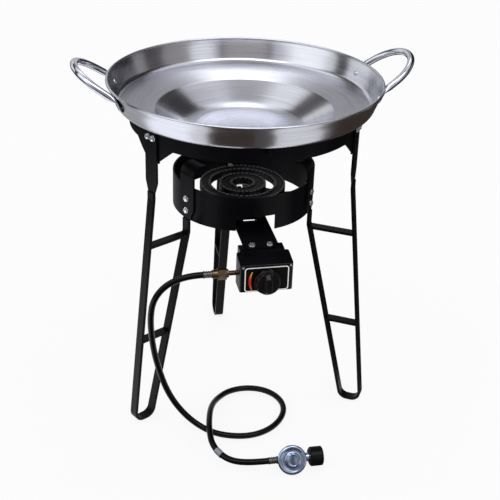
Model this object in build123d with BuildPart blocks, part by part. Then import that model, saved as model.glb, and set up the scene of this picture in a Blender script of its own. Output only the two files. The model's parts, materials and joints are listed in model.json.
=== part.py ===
"""Three-legged outdoor gas burner stand with its pan, hose and regulator.

Millimetres. The origin is on the floor under the stand's axis, +Z is up and -Y is the front.
Angles round the stand are measured from the front, positive towards +X.
"""
import math
import os

from build123d import *

os.makedirs("parts", exist_ok=True)

# Clearances
SEAT_GAP = 0.2
WELD_GAP = 0.05
HOLE_GAP = 0.05
RUN_GAP = 0.05

# Flat bar legs
LEG_ANGLES = {"left": -60.0, "right": 60.0, "rear": 180.0}
BAR_WIDTH = 20.0
BAR_THICK = 6.0
FOOT_OUTER_RADIUS = 296.5
FOOT_SPAN = 45.5
FOOT_BEND = 19.0
KNEE_Z = 421.6
KNEE_BEND = 15.0
HOOP_KINK_DROP = 16.0
UPPER_RUNG_Z = 415.0
LOWER_RUNG_Z = 199.0

# Hoop that carries the pan
HOOP_RADIUS = 236.0
HOOP_THICK = 3.0
HOOP_TOP_Z = 665.0
HOOP_HEIGHT = 32.0
TAB_DROP = 34.0
TAB_TOP_WIDTH = 112.0
TAB_LOW_WIDTH = 40.0
TAB_TAPER = 0.88

# Plates that join the legs to the hoop
PLATE_THICK = 4.0
PLATE_CORNER = 6.0
PLATE_SHOULDER_BEND = 22.0
HOOP_PLATE_WIDTH = 36.0
HOOP_PLATE_TOP_Z = 660.0
HOOP_PLATE_SHOULDER_Z = 556.0
HOOP_PLATE_LOW_Z = 534.0
HOOP_BOLT_Z = 649.0
HOOP_BOLT_SPREAD = 16.0
HOOP_SEAM_Z = 655.0

# Burner ring and the plates that join the legs to it
RING_RADIUS = 148.0
RING_THICK = 3.0
RING_LOW_Z = 447.0
RING_HEIGHT = 74.0
NOTCH_WIDTH = 80.0
NOTCH_HEIGHT = 32.0
RING_PLATE_WIDTH = 42.0
RING_PLATE_LOW_Z = 449.0
RING_PLATE_SHOULDER_Z = 472.0
RING_PLATE_RISE = 45.0
RING_PLATE_BEND = 20.0
RING_PLATE_FINGER = 30.0
RING_BOLT_Z = (494.0, 468.0)

# Bolts
BOLT_DIAMETER = 6.0
BOLT_HEAD_ACROSS = 10.0
BOLT_HEAD_HEIGHT = 4.0
NUT_ACROSS = 10.0
NUT_HEIGHT = 5.0

# Pan
PAN_SHEET = 1.5
RIM_RADIUS = 279.5
RIM_BEAD = 2.0
WALL_FOOT_RADIUS = 261.5
WALL_HEIGHT = 46.5
WALL_FOOT_BEND = 15.0
LIP_RADIUS = 185.0
LIP_BEND = 14.0
SHELF_SLOPE = 0.246
WELL_RADIUS = 115.0
WELL_DEPTH = 38.0
WELL_BEND = 80.0

# Pan handles
HANDLE_ROD = 12.0
HANDLE_RISE_DEG = 34.0
HANDLE_REACH = 92.0
HANDLE_HALF_SPREAD = 80.0
HANDLE_HALF_GRIP = 68.0
HANDLE_BEND = 58.0
LUG_WIDTH = 19.0
LUG_HEIGHT = 30.0
LUG_THICK = 3.0
LUG_DROP = 19.0
RIVET_DIAMETER = 6.0
RIVET_HEAD = 11.0
RIVET_HEAD_HEIGHT = 3.0

# Burner
STRAP_WIDTH = 25.0
STRAP_THICK = 4.0
STRAP_LOW_Z = 452.0
STRAP_END_HEIGHT = 26.0
STRAP_BEND = 8.0
BURNER_LOW_Z = 471.0
BURNER_BODY_HEIGHT = 12.0
BURNER_BELLY = 5.0
BURNER_WALL = 4.0
BURNER_CAP_HEIGHT = 7.0
BURNER_CAP_PLATE = 3.0
OUTER_RING_OUT = 91.0
OUTER_RING_IN = 68.0
INNER_RING_OUT = 50.0
INNER_RING_IN = 22.0
TEETH_RIM = 5.0
TEETH_SLOT = 3.0
BURNER_BOSS = 18.0
POST_X = 24.0
POST_Y = -80.0
POST_DIAMETER = 14.0
MIXER_X = 26.0
MIXER_Z = 430.0
MIXER_DIAMETER = 22.0
MIXER_BORE = 16.0
MIXER_MOUTH_Y = -46.0

# Control bracket
BRACKET_WIDTH = 72.0
BRACKET_SHEET = 2.5
BRACKET_TOP_Z = 442.5
BRACKET_REAR_Y = -62.0
BRACKET_EAR_DROP = 22.0
BRACKET_EAR_WIDTH = 20.0
BRACKET_SLOT_WIDTH = 28.0
BRACKET_SLOT_DEPTH = 9.0
BRACKET_SLOT_Y = -86.0
BRACKET_BOLT_SPREAD = 36.0
BRACKET_BOLT_SET = 15.0

# Control box
BOX_SHEET = 1.5
BOX_FRONT_Y = -262.0
BOX_DEPTH = 72.0
BOX_FACE_DEPTH = 47.0
BOX_FACE_WIDTH = 106.0
BOX_REAR_WIDTH = 90.0
BOX_LOW_Z = 373.0
BOX_FACE_TOP_Z = 431.0
BOX_STEP_Z = 437.5
BOX_CORNER = 5.0
BOX_EDGE = 2.0
FASCIA_WIDTH = 90.0
FASCIA_HEIGHT = 50.0
FASCIA_CORNER = 7.0
FASCIA_RISE = 3.0
FASCIA_SHEET = 1.0
FASCIA_SCREW_SPREAD = 94.0
FASCIA_SCREW_RISE = 30.6
FASCIA_SCREW_HEAD = 4.4
KNOB_Z = 397.0

# Valve and knob, measured outwards from the box face
VALVE_WIDTH = 30.0
VALVE_HEIGHT = 30.0
VALVE_REAR = -54.0
VALVE_SHOULDER = -26.0
VALVE_NECK = 18.0
VALVE_BORE_END = -28.0
PLUNGER_DIAMETER = 12.0
PLUNGER_REAR = -22.0
PLUNGER_FRONT = 3.0
STEM_DIAMETER = 8.0
STEM_REAR = -21.0
STEM_FRONT = 19.0
KNOB_BACK = 4.6
KNOB_DIAMETER = 49.0
KNOB_SKIRT = 6.0
KNOB_BODY_DIAMETER = 43.0
KNOB_BODY = 8.0
KNOB_GRIP = 8.4
KNOB_GRIP_WIDTH = 13.0

# Gas pipes and jets
PIPE_DIAMETER = 8.0
PIPE_PORT_X = 8.0
PIPE_BEND = 12.0
JET_ACROSS = 13.0
JET_HEX = 7.0
JET_THREAD = 10.0
JET_SHANK = 8.0
JET_TIP = 5.0
JET_TIP_LENGTH = 6.0

# Gas inlet, along -X from the valve
INLET_SET = 38.0
NIPPLE_DIAMETER = 10.0
NIPPLE_END_X = -69.0
UNION_ACROSS = 22.0
UNION_LENGTH = 32.0
FERRULE_DIAMETER = 15.0
FERRULE_LENGTH = 18.0
HOSE_DIAMETER = 13.0

# Regulator, along +X on the floor
REG_Y = -350.0
REG_Z = 20.5
REG_FERRULE_X = 0.0
REG_OUTLET_DIAMETER = 16.0
REG_OUTLET = 12.0
REG_BARREL_DIAMETER = 24.0
REG_BARREL = 32.0
REG_STUB_DIAMETER = 18.0
REG_STUB = 18.0
REG_TIP_DIAMETER = 14.0
REG_TIP = 3.5
REG_COLLAR_DIAMETER = 25.0
REG_COLLAR = 3.0
REG_LEAN_DEG = 30.0
REG_FLANGE_DIAMETER = 60.0
REG_FLANGE_BACK = 14.0
REG_FLANGE = 4.0
REG_BONNET_DIAMETER = 52.0
REG_BONNET = 5.0
REG_CAP_DIAMETER = 27.0
REG_CAP = 4.0
NUT_DIAMETER = 40.0
NUT_LENGTH = 34.0
NUT_WALL = 8.0
NUT_RELIEF_DIAMETER = 28.0
NUT_THREAD_DIAMETER = 32.0
NUT_THREAD = 19.0
NUT_RIBS = 24
NUT_RIB_DIAMETER = 3.4


def save(piece, label):
    """Name a finished piece and write it."""
    piece.label = label
    export_step(piece, f"parts/{label}.step")


def outward(angle):
    """Unit vector from the axis at an angle round the stand."""
    turn = math.radians(angle)
    return Vector(math.sin(turn), -math.cos(turn), 0)


def facing(angle, radius, height):
    """Plane that faces outwards at an angle, with its y axis up."""
    way = outward(angle)
    place = way * radius
    return Plane(origin=(place.X, place.Y, height), x_dir=(-way.Y, way.X, 0), z_dir=way)


def section(angle):
    """Plane through the axis: x is the radius and y is the height."""
    way = outward(angle)
    return Plane(origin=(0, 0, 0), x_dir=way, z_dir=(way.Y, -way.X, 0))


def bend_radii(points):
    """Largest bend that each inner point of a route has room for."""
    radii = []
    for before, here, after in zip(points, points[1:], points[2:]):
        first = Vector(*here) - Vector(*before)
        second = Vector(*after) - Vector(*here)
        turn = math.radians(first.get_angle(second))
        radii.append(0.45 * min(first.length, second.length) / math.tan(turn / 2))
    return radii


# Plates and leg bars share these lines
hoop_plate_in = HOOP_RADIUS + SEAT_GAP
hoop_plate_out = hoop_plate_in + PLATE_THICK
hoop_bar_mid = hoop_plate_in + BAR_THICK / 2
ring_plate_in = RING_RADIUS + SEAT_GAP
ring_plate_out = ring_plate_in + PLATE_THICK
ring_plate_mid = ring_plate_in + PLATE_THICK / 2
ring_bar_mid = ring_plate_in + BAR_THICK / 2
hoop_low = HOOP_TOP_Z - HOOP_HEIGHT
tab_low = hoop_low - TAB_DROP
ring_top = RING_LOW_Z + RING_HEIGHT
ring_plate_top = ring_top + RING_PLATE_RISE
foot_inner = FOOT_OUTER_RADIUS - FOOT_SPAN
kink_z = HOOP_PLATE_LOW_Z - HOOP_KINK_DROP
foot_z = BAR_THICK / 2
hole = BOLT_DIAMETER / 2 + HOLE_GAP

outer_slope = (FOOT_OUTER_RADIUS - hoop_bar_mid) / (kink_z - foot_z)
inner_slope = (foot_inner - ring_bar_mid) / (KNEE_Z - foot_z)
outer_half = BAR_THICK / 2 * math.hypot(1, outer_slope)
inner_half = BAR_THICK / 2 * math.hypot(1, inner_slope)


def outer_arm(height):
    """Radius of the inward face of a leg's outer arm."""
    return FOOT_OUTER_RADIUS - outer_slope * (height - foot_z) - outer_half


def inner_arm(height):
    """Radius of the outward face of a leg's inner arm."""
    return foot_inner - inner_slope * (height - foot_z) + inner_half


def hoop_bolt_planes(radius):
    """Two side by side on each hoop plate."""
    turn = math.degrees(HOOP_BOLT_SPREAD / 2 / hoop_plate_out)
    return [
        facing(angle + side * turn, radius, HOOP_BOLT_Z)
        for angle in LEG_ANGLES.values()
        for side in (-1, 1)
    ]


def ring_bolt_planes(radius):
    """Two one above the other on each ring plate."""
    return [facing(angle, radius, height) for angle in LEG_ANGLES.values() for height in RING_BOLT_Z]


# Top hoop: a band with three tabs, cut from one rolled shell
with BuildPart() as hoop_mask:
    with BuildSketch(Plane.XY.offset(hoop_low)):
        Circle(HOOP_RADIUS + HOOP_THICK)
    extrude(amount=HOOP_HEIGHT)
    for leg_angle in LEG_ANGLES.values():
        with BuildSketch(facing(leg_angle, HOOP_RADIUS / 2, 0)):
            with BuildLine():
                Polyline(
                    (-TAB_TOP_WIDTH / 2, hoop_low + HOOP_HEIGHT / 2),
                    (-TAB_TOP_WIDTH / 2, hoop_low),
                    (-TAB_LOW_WIDTH / 2, hoop_low - TAB_DROP * TAB_TAPER),
                    (-TAB_LOW_WIDTH / 2, tab_low),
                    (TAB_LOW_WIDTH / 2, tab_low),
                    (TAB_LOW_WIDTH / 2, hoop_low - TAB_DROP * TAB_TAPER),
                    (TAB_TOP_WIDTH / 2, hoop_low),
                    (TAB_TOP_WIDTH / 2, hoop_low + HOOP_HEIGHT / 2),
                    close=True,
                )
            make_face()
        extrude(amount=HOOP_RADIUS)

with BuildPart() as top_hoop:
    with BuildSketch(Plane.XY.offset(tab_low)):
        Circle(HOOP_RADIUS)
        Circle(HOOP_RADIUS - HOOP_THICK, mode=Mode.SUBTRACT)
    extrude(amount=TAB_DROP + HOOP_HEIGHT)
    add(hoop_mask.part, mode=Mode.INTERSECT)
    seam_hole = facing(0, HOOP_RADIUS + HOOP_THICK, HOOP_SEAM_Z)
    with BuildSketch(*hoop_bolt_planes(HOOP_RADIUS + HOOP_THICK), seam_hole):
        Circle(hole)
    extrude(amount=-4 * HOOP_THICK, mode=Mode.SUBTRACT)
save(top_hoop.part, "top_hoop")

# Hoop plates, ring plates, leg bars and rungs, one set per leg
for side, leg_angle in LEG_ANGLES.items():
    with BuildPart() as hoop_plate:
        with BuildSketch(Plane.XY.offset(HOOP_PLATE_LOW_Z)):
            Circle(hoop_plate_out)
            Circle(hoop_plate_in, mode=Mode.SUBTRACT)
        extrude(amount=HOOP_PLATE_TOP_Z - HOOP_PLATE_LOW_Z)
        with BuildSketch(facing(leg_angle, 0, 0)):
            with BuildLine():
                FilletPolyline(
                    (-BAR_WIDTH / 2, HOOP_PLATE_LOW_Z),
                    (BAR_WIDTH / 2, HOOP_PLATE_LOW_Z),
                    (HOOP_PLATE_WIDTH / 2, HOOP_PLATE_SHOULDER_Z),
                    (HOOP_PLATE_WIDTH / 2, HOOP_PLATE_TOP_Z),
                    (-HOOP_PLATE_WIDTH / 2, HOOP_PLATE_TOP_Z),
                    (-HOOP_PLATE_WIDTH / 2, HOOP_PLATE_SHOULDER_Z),
                    radius=[0, 0, PLATE_SHOULDER_BEND, PLATE_CORNER, PLATE_CORNER, PLATE_SHOULDER_BEND],
                    close=True,
                )
            make_face()
        extrude(amount=hoop_plate_out + PLATE_THICK, mode=Mode.INTERSECT)
        with BuildSketch(*hoop_bolt_planes(hoop_plate_out + PLATE_THICK)):
            Circle(hole)
        extrude(amount=-4 * PLATE_THICK, mode=Mode.SUBTRACT)
    save(hoop_plate.part, f"hoop_plate_{side}")

    with BuildPart() as ring_plate:
        with BuildSketch(section(leg_angle)):
            with BuildLine():
                FilletPolyline(
                    (ring_plate_mid, RING_PLATE_LOW_Z),
                    (ring_plate_mid, ring_plate_top - PLATE_THICK / 2),
                    (ring_plate_mid - RING_PLATE_FINGER, ring_plate_top - PLATE_THICK / 2),
                    radius=RING_PLATE_BEND,
                )
            trace(line_width=PLATE_THICK)
        revolve(axis=Axis.Z)
        with BuildSketch(facing(leg_angle, 0, 0)):
            with BuildLine():
                FilletPolyline(
                    (-BAR_WIDTH / 2, RING_PLATE_LOW_Z),
                    (BAR_WIDTH / 2, RING_PLATE_LOW_Z),
                    (RING_PLATE_WIDTH / 2, RING_PLATE_SHOULDER_Z),
                    (RING_PLATE_WIDTH / 2, ring_plate_top),
                    (-RING_PLATE_WIDTH / 2, ring_plate_top),
                    (-RING_PLATE_WIDTH / 2, RING_PLATE_SHOULDER_Z),
                    radius=[0, 0, PLATE_SHOULDER_BEND, 0, 0, PLATE_SHOULDER_BEND],
                    close=True,
                )
            make_face()
        extrude(amount=ring_plate_out + PLATE_THICK, mode=Mode.INTERSECT)
        with BuildSketch(*ring_bolt_planes(ring_plate_out + PLATE_THICK)):
            Circle(hole)
        extrude(amount=-3 * PLATE_THICK, mode=Mode.SUBTRACT)
    save(ring_plate.part, f"ring_plate_{side}")

    with BuildPart() as leg_bar:
        with BuildSketch(section(leg_angle)):
            with BuildLine():
                FilletPolyline(
                    (hoop_bar_mid, HOOP_PLATE_LOW_Z - WELD_GAP),
                    (hoop_bar_mid, kink_z),
                    (FOOT_OUTER_RADIUS, foot_z),
                    (foot_inner, foot_z),
                    (ring_bar_mid, KNEE_Z),
                    (ring_bar_mid, RING_PLATE_LOW_Z - WELD_GAP),
                    radius=[KNEE_BEND, FOOT_BEND, FOOT_BEND, KNEE_BEND],
                )
            trace(line_width=BAR_THICK)
        extrude(amount=BAR_WIDTH / 2, both=True)
    save(leg_bar.part, f"leg_bar_{side}")

    for rung_name, rung_z in (("upper_rung", UPPER_RUNG_Z), ("lower_rung", LOWER_RUNG_Z)):
        rung_low = rung_z - BAR_THICK / 2
        rung_high = rung_z + BAR_THICK / 2
        with BuildPart() as rung:
            with BuildSketch(section(leg_angle)):
                with BuildLine():
                    Polyline(
                        (inner_arm(rung_low) + WELD_GAP, rung_low),
                        (outer_arm(rung_low) - WELD_GAP, rung_low),
                        (outer_arm(rung_high) - WELD_GAP, rung_high),
                        (inner_arm(rung_high) + WELD_GAP, rung_high),
                        close=True,
                    )
                make_face()
            extrude(amount=BAR_WIDTH / 2, both=True)
        save(rung.part, f"{rung_name}_{side}")

# Bolts through the hoop: the seam bolt at the front sits on the hoop itself
hoop_grip = PLATE_THICK + SEAT_GAP + HOOP_THICK
bolt_reach = NUT_HEIGHT + 2.0
hoop_seam = facing(0, HOOP_RADIUS + SEAT_GAP, HOOP_SEAM_Z)
with BuildPart() as hoop_bolts:
    with BuildSketch(*hoop_bolt_planes(hoop_plate_out + SEAT_GAP), hoop_seam):
        RegularPolygon(BOLT_HEAD_ACROSS / 2, 6, major_radius=False)
    extrude(amount=BOLT_HEAD_HEIGHT)
    with BuildSketch(*hoop_bolt_planes(hoop_plate_out + SEAT_GAP)):
        Circle(BOLT_DIAMETER / 2)
    extrude(amount=-(hoop_grip + 2 * SEAT_GAP + bolt_reach))
    with BuildSketch(hoop_seam):
        Circle(BOLT_DIAMETER / 2)
    extrude(amount=-(HOOP_THICK + 2 * SEAT_GAP + bolt_reach))
save(hoop_bolts.part, "hoop_bolts")

nut_seat = HOOP_RADIUS - HOOP_THICK - SEAT_GAP - NUT_ACROSS**2 / 8 / HOOP_RADIUS
with BuildPart() as hoop_nuts:
    with BuildSketch(*hoop_bolt_planes(nut_seat), facing(0, nut_seat, HOOP_SEAM_Z)):
        RegularPolygon(NUT_ACROSS / 2, 6, major_radius=False)
        Circle(hole, mode=Mode.SUBTRACT)
    extrude(amount=-NUT_HEIGHT)
save(hoop_nuts.part, "hoop_nuts")

# Burner ring with the notch for the control bracket
with BuildPart() as burner_ring:
    with BuildSketch(Plane.XY.offset(RING_LOW_Z)):
        Circle(RING_RADIUS)
        Circle(RING_RADIUS - RING_THICK, mode=Mode.SUBTRACT)
    extrude(amount=RING_HEIGHT)
    with BuildSketch(facing(0, 0, RING_LOW_Z + NOTCH_HEIGHT / 2)):
        Rectangle(NOTCH_WIDTH, NOTCH_HEIGHT)
    extrude(amount=RING_RADIUS + RING_THICK, mode=Mode.SUBTRACT)
    with BuildSketch(*ring_bolt_planes(RING_RADIUS + RING_THICK)):
        Circle(hole)
    extrude(amount=-4 * RING_THICK, mode=Mode.SUBTRACT)
save(burner_ring.part, "burner_ring")

ring_grip = PLATE_THICK + SEAT_GAP + RING_THICK
with BuildPart() as ring_bolts:
    with BuildSketch(*ring_bolt_planes(ring_plate_out + SEAT_GAP)):
        RegularPolygon(BOLT_HEAD_ACROSS / 2, 6, major_radius=False)
    extrude(amount=BOLT_HEAD_HEIGHT)
    with BuildSketch(*ring_bolt_planes(ring_plate_out + SEAT_GAP)):
        Circle(BOLT_DIAMETER / 2)
    extrude(amount=-(ring_grip + 2 * SEAT_GAP + bolt_reach))
save(ring_bolts.part, "ring_bolts")

ring_nut_seat = RING_RADIUS - RING_THICK - SEAT_GAP - NUT_ACROSS**2 / 6 / RING_RADIUS
with BuildPart() as ring_nuts:
    with BuildSketch(*ring_bolt_planes(ring_nut_seat)):
        RegularPolygon(NUT_ACROSS / 2, 6, major_radius=False)
        Circle(hole, mode=Mode.SUBTRACT)
    extrude(amount=-NUT_HEIGHT)
save(ring_nuts.part, "ring_nuts")

# Pan: pressed sheet, resting on the inner edge of the hoop's top
pan_half = PAN_SHEET / 2
hoop_inner = HOOP_RADIUS - HOOP_THICK
shelf_rest = HOOP_TOP_Z + SEAT_GAP + pan_half * math.hypot(1, SHELF_SLOPE)
lip_z = shelf_rest - SHELF_SLOPE * (hoop_inner - LIP_RADIUS)
wall_foot_z = lip_z + SHELF_SLOPE * (WALL_FOOT_RADIUS - LIP_RADIUS)
rim_z = wall_foot_z + WALL_HEIGHT
well_z = lip_z - WELL_DEPTH
wall_lean = math.atan2(RIM_RADIUS - WALL_FOOT_RADIUS, WALL_HEIGHT)


def wall_plane(side, spread, drop):
    """Plane on the wall's outer face, facing outwards, at a spread along Y and a drop below the rim."""
    height = rim_z - drop
    radius = RIM_RADIUS - drop * math.tan(wall_lean) + pan_half / math.cos(wall_lean)
    reach = side * math.sqrt(radius**2 - spread**2)
    level = Vector(reach / radius, spread / radius, 0)
    tilt = math.cos(wall_lean)
    normal = (level.X * tilt, level.Y * tilt, -math.sin(wall_lean))
    return Plane(origin=(reach, spread, height), x_dir=(-level.Y, level.X, 0), z_dir=normal)


rivet_planes = [
    wall_plane(side, spread, LUG_DROP + LUG_HEIGHT / 5)
    for side in (-1, 1)
    for spread in (-HANDLE_HALF_SPREAD, HANDLE_HALF_SPREAD)
]

with BuildPart() as pan:
    with BuildSketch(Plane.XZ):
        with BuildLine():
            FilletPolyline(
                (0, well_z),
                (WELL_RADIUS, well_z),
                (LIP_RADIUS, lip_z),
                (WALL_FOOT_RADIUS, wall_foot_z),
                (RIM_RADIUS, rim_z),
                radius=[WELL_BEND, LIP_BEND, WALL_FOOT_BEND],
            )
        trace(line_width=PAN_SHEET)
    revolve(axis=Axis.Z)
    with BuildSketch(Plane.XZ):
        with Locations((RIM_RADIUS, rim_z)):
            Circle(RIM_BEAD)
    revolve(axis=Axis.Z)
    with BuildSketch(*rivet_planes):
        Circle(RIVET_DIAMETER / 2 + HOLE_GAP)
    extrude(amount=6 * PAN_SHEET, both=True, mode=Mode.SUBTRACT)
save(pan.part, "pan")

# Handles: round rod with flattened lugs, riveted to the wall
lug_seat = SEAT_GAP + LUG_WIDTH**2 / 8 / RIM_RADIUS
for side_name, side in (("left", -1), ("right", 1)):
    root = wall_plane(side, HANDLE_HALF_SPREAD, LUG_DROP - LUG_HEIGHT / 4)
    rise = math.radians(HANDLE_RISE_DEG)
    slope = Plane(
        origin=(root.origin.X + side * (lug_seat + LUG_THICK / 2), 0, root.origin.Z),
        x_dir=(0, 1, 0),
        z_dir=(math.sin(rise), 0, -side * math.cos(rise)),
    )
    lugs = [wall_plane(side, spread, LUG_DROP) for spread in (-HANDLE_HALF_SPREAD, HANDLE_HALF_SPREAD)]
    with BuildPart() as handle:
        with BuildLine(slope):
            FilletPolyline(
                (-HANDLE_HALF_SPREAD, 0),
                (-HANDLE_HALF_GRIP, HANDLE_REACH),
                (HANDLE_HALF_GRIP, HANDLE_REACH),
                (HANDLE_HALF_SPREAD, 0),
                radius=HANDLE_BEND,
            )
        rod_path = handle.pending_edges_as_wire
        with BuildSketch(Plane(origin=rod_path @ 0, z_dir=rod_path % 0)):
            Circle(HANDLE_ROD / 2)
        sweep(path=rod_path)
        with BuildSketch(*[lug.offset(lug_seat) for lug in lugs]):
            RectangleRounded(LUG_WIDTH, LUG_HEIGHT, LUG_WIDTH / 2 - 1)
        extrude(amount=LUG_THICK)
        with BuildSketch(*[lug.offset(-HANDLE_ROD) for lug in lugs]):
            Rectangle(2 * LUG_WIDTH, 2 * LUG_HEIGHT)
        extrude(amount=HANDLE_ROD + lug_seat, mode=Mode.SUBTRACT)
        with BuildSketch(*rivet_planes):
            Circle(RIVET_DIAMETER / 2 + HOLE_GAP)
        extrude(amount=4 * LUG_THICK, mode=Mode.SUBTRACT)
    save(handle.part, f"handle_{side_name}")

rivet_face = lug_seat + LUG_THICK + SEAT_GAP
with BuildPart() as handle_rivets:
    with BuildSketch(*[plane.offset(rivet_face) for plane in rivet_planes]):
        Circle(RIVET_HEAD / 2)
    extrude(amount=RIVET_HEAD_HEIGHT, taper=25)
    with BuildSketch(*[plane.offset(rivet_face) for plane in rivet_planes]):
        Circle(RIVET_DIAMETER / 2)
    extrude(amount=-(rivet_face + PAN_SHEET + 2 * SEAT_GAP))
    with BuildSketch(*[plane.offset(-PAN_SHEET - 2 * SEAT_GAP) for plane in rivet_planes]):
        Circle(RIVET_HEAD / 2)
    extrude(amount=-RIVET_HEAD_HEIGHT, taper=25)
save(handle_rivets.part, "handle_rivets")

# Burner strap, welded inside the ring
strap_reach = math.sqrt((RING_RADIUS - RING_THICK) ** 2 - (STRAP_WIDTH / 2) ** 2) - SEAT_GAP - STRAP_THICK / 2
strap_mid = STRAP_LOW_Z + STRAP_THICK / 2
strap_top = STRAP_LOW_Z + STRAP_THICK
outer_mid = (OUTER_RING_OUT + OUTER_RING_IN) / 2
with BuildPart() as burner_strap:
    with BuildSketch(Plane.XZ):
        with BuildLine():
            FilletPolyline(
                (-strap_reach, strap_mid + STRAP_END_HEIGHT),
                (-strap_reach, strap_mid),
                (strap_reach, strap_mid),
                (strap_reach, strap_mid + STRAP_END_HEIGHT),
                radius=STRAP_BEND,
            )
        trace(line_width=STRAP_THICK)
    extrude(amount=STRAP_WIDTH / 2, both=True)
    with BuildSketch(Plane.XY.offset(strap_top)):
        with Locations((-outer_mid, 0), (outer_mid, 0)):
            Circle(hole)
    extrude(amount=-2 * STRAP_THICK, mode=Mode.SUBTRACT)
save(burner_strap.part, "burner_strap")

# Burner casting: two channels, three bridges, two mixing tubes underneath
body_top = BURNER_LOW_Z + BURNER_BODY_HEIGHT
riser_low = MIXER_Z
inner_riser_y = MIXER_X
outer_riser_y = math.sqrt(outer_mid**2 - MIXER_X**2)
with BuildPart() as burner_body:
    with BuildSketch(Plane.XY.offset(BURNER_LOW_Z)):
        Circle(OUTER_RING_OUT)
        Circle(OUTER_RING_IN, mode=Mode.SUBTRACT)
        Circle(INNER_RING_OUT)
        Circle(INNER_RING_IN, mode=Mode.SUBTRACT)
    extrude(amount=BURNER_BODY_HEIGHT)
    chamfer(burner_body.edges().group_by(Axis.Z)[0], BURNER_BELLY)
    for bridge_angle, bridge_width in ((180.0, 10.0), (-58.0, 26.0), (58.0, 26.0)):
        way = outward(bridge_angle)
        bridge_mid = (INNER_RING_OUT + OUTER_RING_IN) / 2
        with BuildSketch(
            Plane(origin=(way.X * bridge_mid, way.Y * bridge_mid, BURNER_LOW_Z), x_dir=way, z_dir=(0, 0, 1))
        ):
            Rectangle(OUTER_RING_IN - INNER_RING_OUT + 6, bridge_width)
        extrude(amount=BURNER_BODY_HEIGHT - 3)
    with BuildSketch(Plane.XY.offset(strap_top + SEAT_GAP)):
        with Locations((-outer_mid, 0), (outer_mid, 0)):
            Circle(BURNER_BOSS / 2)
    extrude(amount=BURNER_LOW_Z + BURNER_WALL / 2 - strap_top)
    with BuildSketch(Plane.XY.offset(BRACKET_TOP_Z + SEAT_GAP)):
        with Locations((-POST_X, POST_Y), (POST_X, POST_Y)):
            Circle(POST_DIAMETER / 2)
    extrude(amount=BURNER_LOW_Z + BURNER_WALL / 2 - BRACKET_TOP_Z)
    with BuildSketch(Plane.XY.offset(riser_low)):
        with Locations((-MIXER_X, inner_riser_y), (MIXER_X, outer_riser_y)):
            Circle(MIXER_DIAMETER / 2)
    extrude(amount=BURNER_LOW_Z + BURNER_WALL / 2 - riser_low)
    for mixer_x, riser_y in ((-MIXER_X, inner_riser_y), (MIXER_X, outer_riser_y)):
        with BuildSketch(Plane(origin=(mixer_x, MIXER_MOUTH_Y, MIXER_Z), x_dir=(1, 0, 0), z_dir=(0, 1, 0))):
            Circle(MIXER_DIAMETER / 2)
        extrude(amount=riser_y - MIXER_MOUTH_Y)
        with BuildSketch(Plane(origin=(mixer_x, riser_y, MIXER_Z), x_dir=(1, 0, 0), z_dir=(0, 0, 1))):
            Circle(MIXER_DIAMETER / 2)
        extrude(amount=-MIXER_DIAMETER / 2)
    with BuildSketch(Plane.XY.offset(body_top)):
        Circle(OUTER_RING_OUT - BURNER_WALL)
        Circle(OUTER_RING_IN + BURNER_WALL, mode=Mode.SUBTRACT)
        Circle(INNER_RING_OUT - BURNER_WALL)
        Circle(INNER_RING_IN + BURNER_WALL, mode=Mode.SUBTRACT)
    extrude(amount=-(BURNER_BODY_HEIGHT - BURNER_WALL), mode=Mode.SUBTRACT)
    for mixer_x, riser_y in ((-MIXER_X, inner_riser_y), (MIXER_X, outer_riser_y)):
        with BuildSketch(Plane(origin=(mixer_x, MIXER_MOUTH_Y, MIXER_Z), x_dir=(1, 0, 0), z_dir=(0, 1, 0))):
            Circle(MIXER_BORE / 2)
        extrude(amount=riser_y - MIXER_MOUTH_Y, mode=Mode.SUBTRACT)
    with BuildSketch(Plane.XY.offset(strap_top)):
        with Locations((-outer_mid, 0), (outer_mid, 0)):
            Circle(hole)
    extrude(amount=BURNER_LOW_Z + BURNER_WALL - 1 - strap_top, mode=Mode.SUBTRACT)
    with BuildSketch(Plane.XY.offset(BRACKET_TOP_Z)):
        with Locations((-POST_X, POST_Y), (POST_X, POST_Y)):
            Circle(hole)
    extrude(amount=12, mode=Mode.SUBTRACT)
save(burner_body.part, "burner_body")

# Toothed caps of the two channels
cap_low = body_top + WELD_GAP
cap_rim = cap_low + BURNER_CAP_PLATE
cap_top = cap_low + BURNER_CAP_HEIGHT
for cap_name, cap_out, cap_in, teeth_out, teeth_in in (
    ("burner_outer_cap", OUTER_RING_OUT, OUTER_RING_IN, 60, 44),
    ("burner_inner_cap", INNER_RING_OUT, INNER_RING_IN, 34, 14),
):
    with BuildPart() as burner_cap:
        with BuildSketch(Plane.XY.offset(cap_low)):
            Circle(cap_out)
            Circle(cap_in, mode=Mode.SUBTRACT)
        extrude(amount=BURNER_CAP_HEIGHT)
        with BuildSketch(Plane.XY.offset(cap_top)):
            Circle(cap_out - TEETH_RIM)
            Circle(cap_in + TEETH_RIM, mode=Mode.SUBTRACT)
        extrude(amount=-(BURNER_CAP_HEIGHT - BURNER_CAP_PLATE) / 2, mode=Mode.SUBTRACT)
        with BuildSketch(Plane.XY.offset(cap_top)):
            with PolarLocations(cap_out - TEETH_RIM / 2, teeth_out):
                Rectangle(TEETH_RIM + 2, TEETH_SLOT)
            with PolarLocations(cap_in + TEETH_RIM / 2, teeth_in):
                Rectangle(TEETH_RIM + 2, TEETH_SLOT)
        extrude(amount=-(BURNER_CAP_HEIGHT - BURNER_CAP_PLATE), mode=Mode.SUBTRACT)
    save(burner_cap.part, cap_name)

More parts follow.
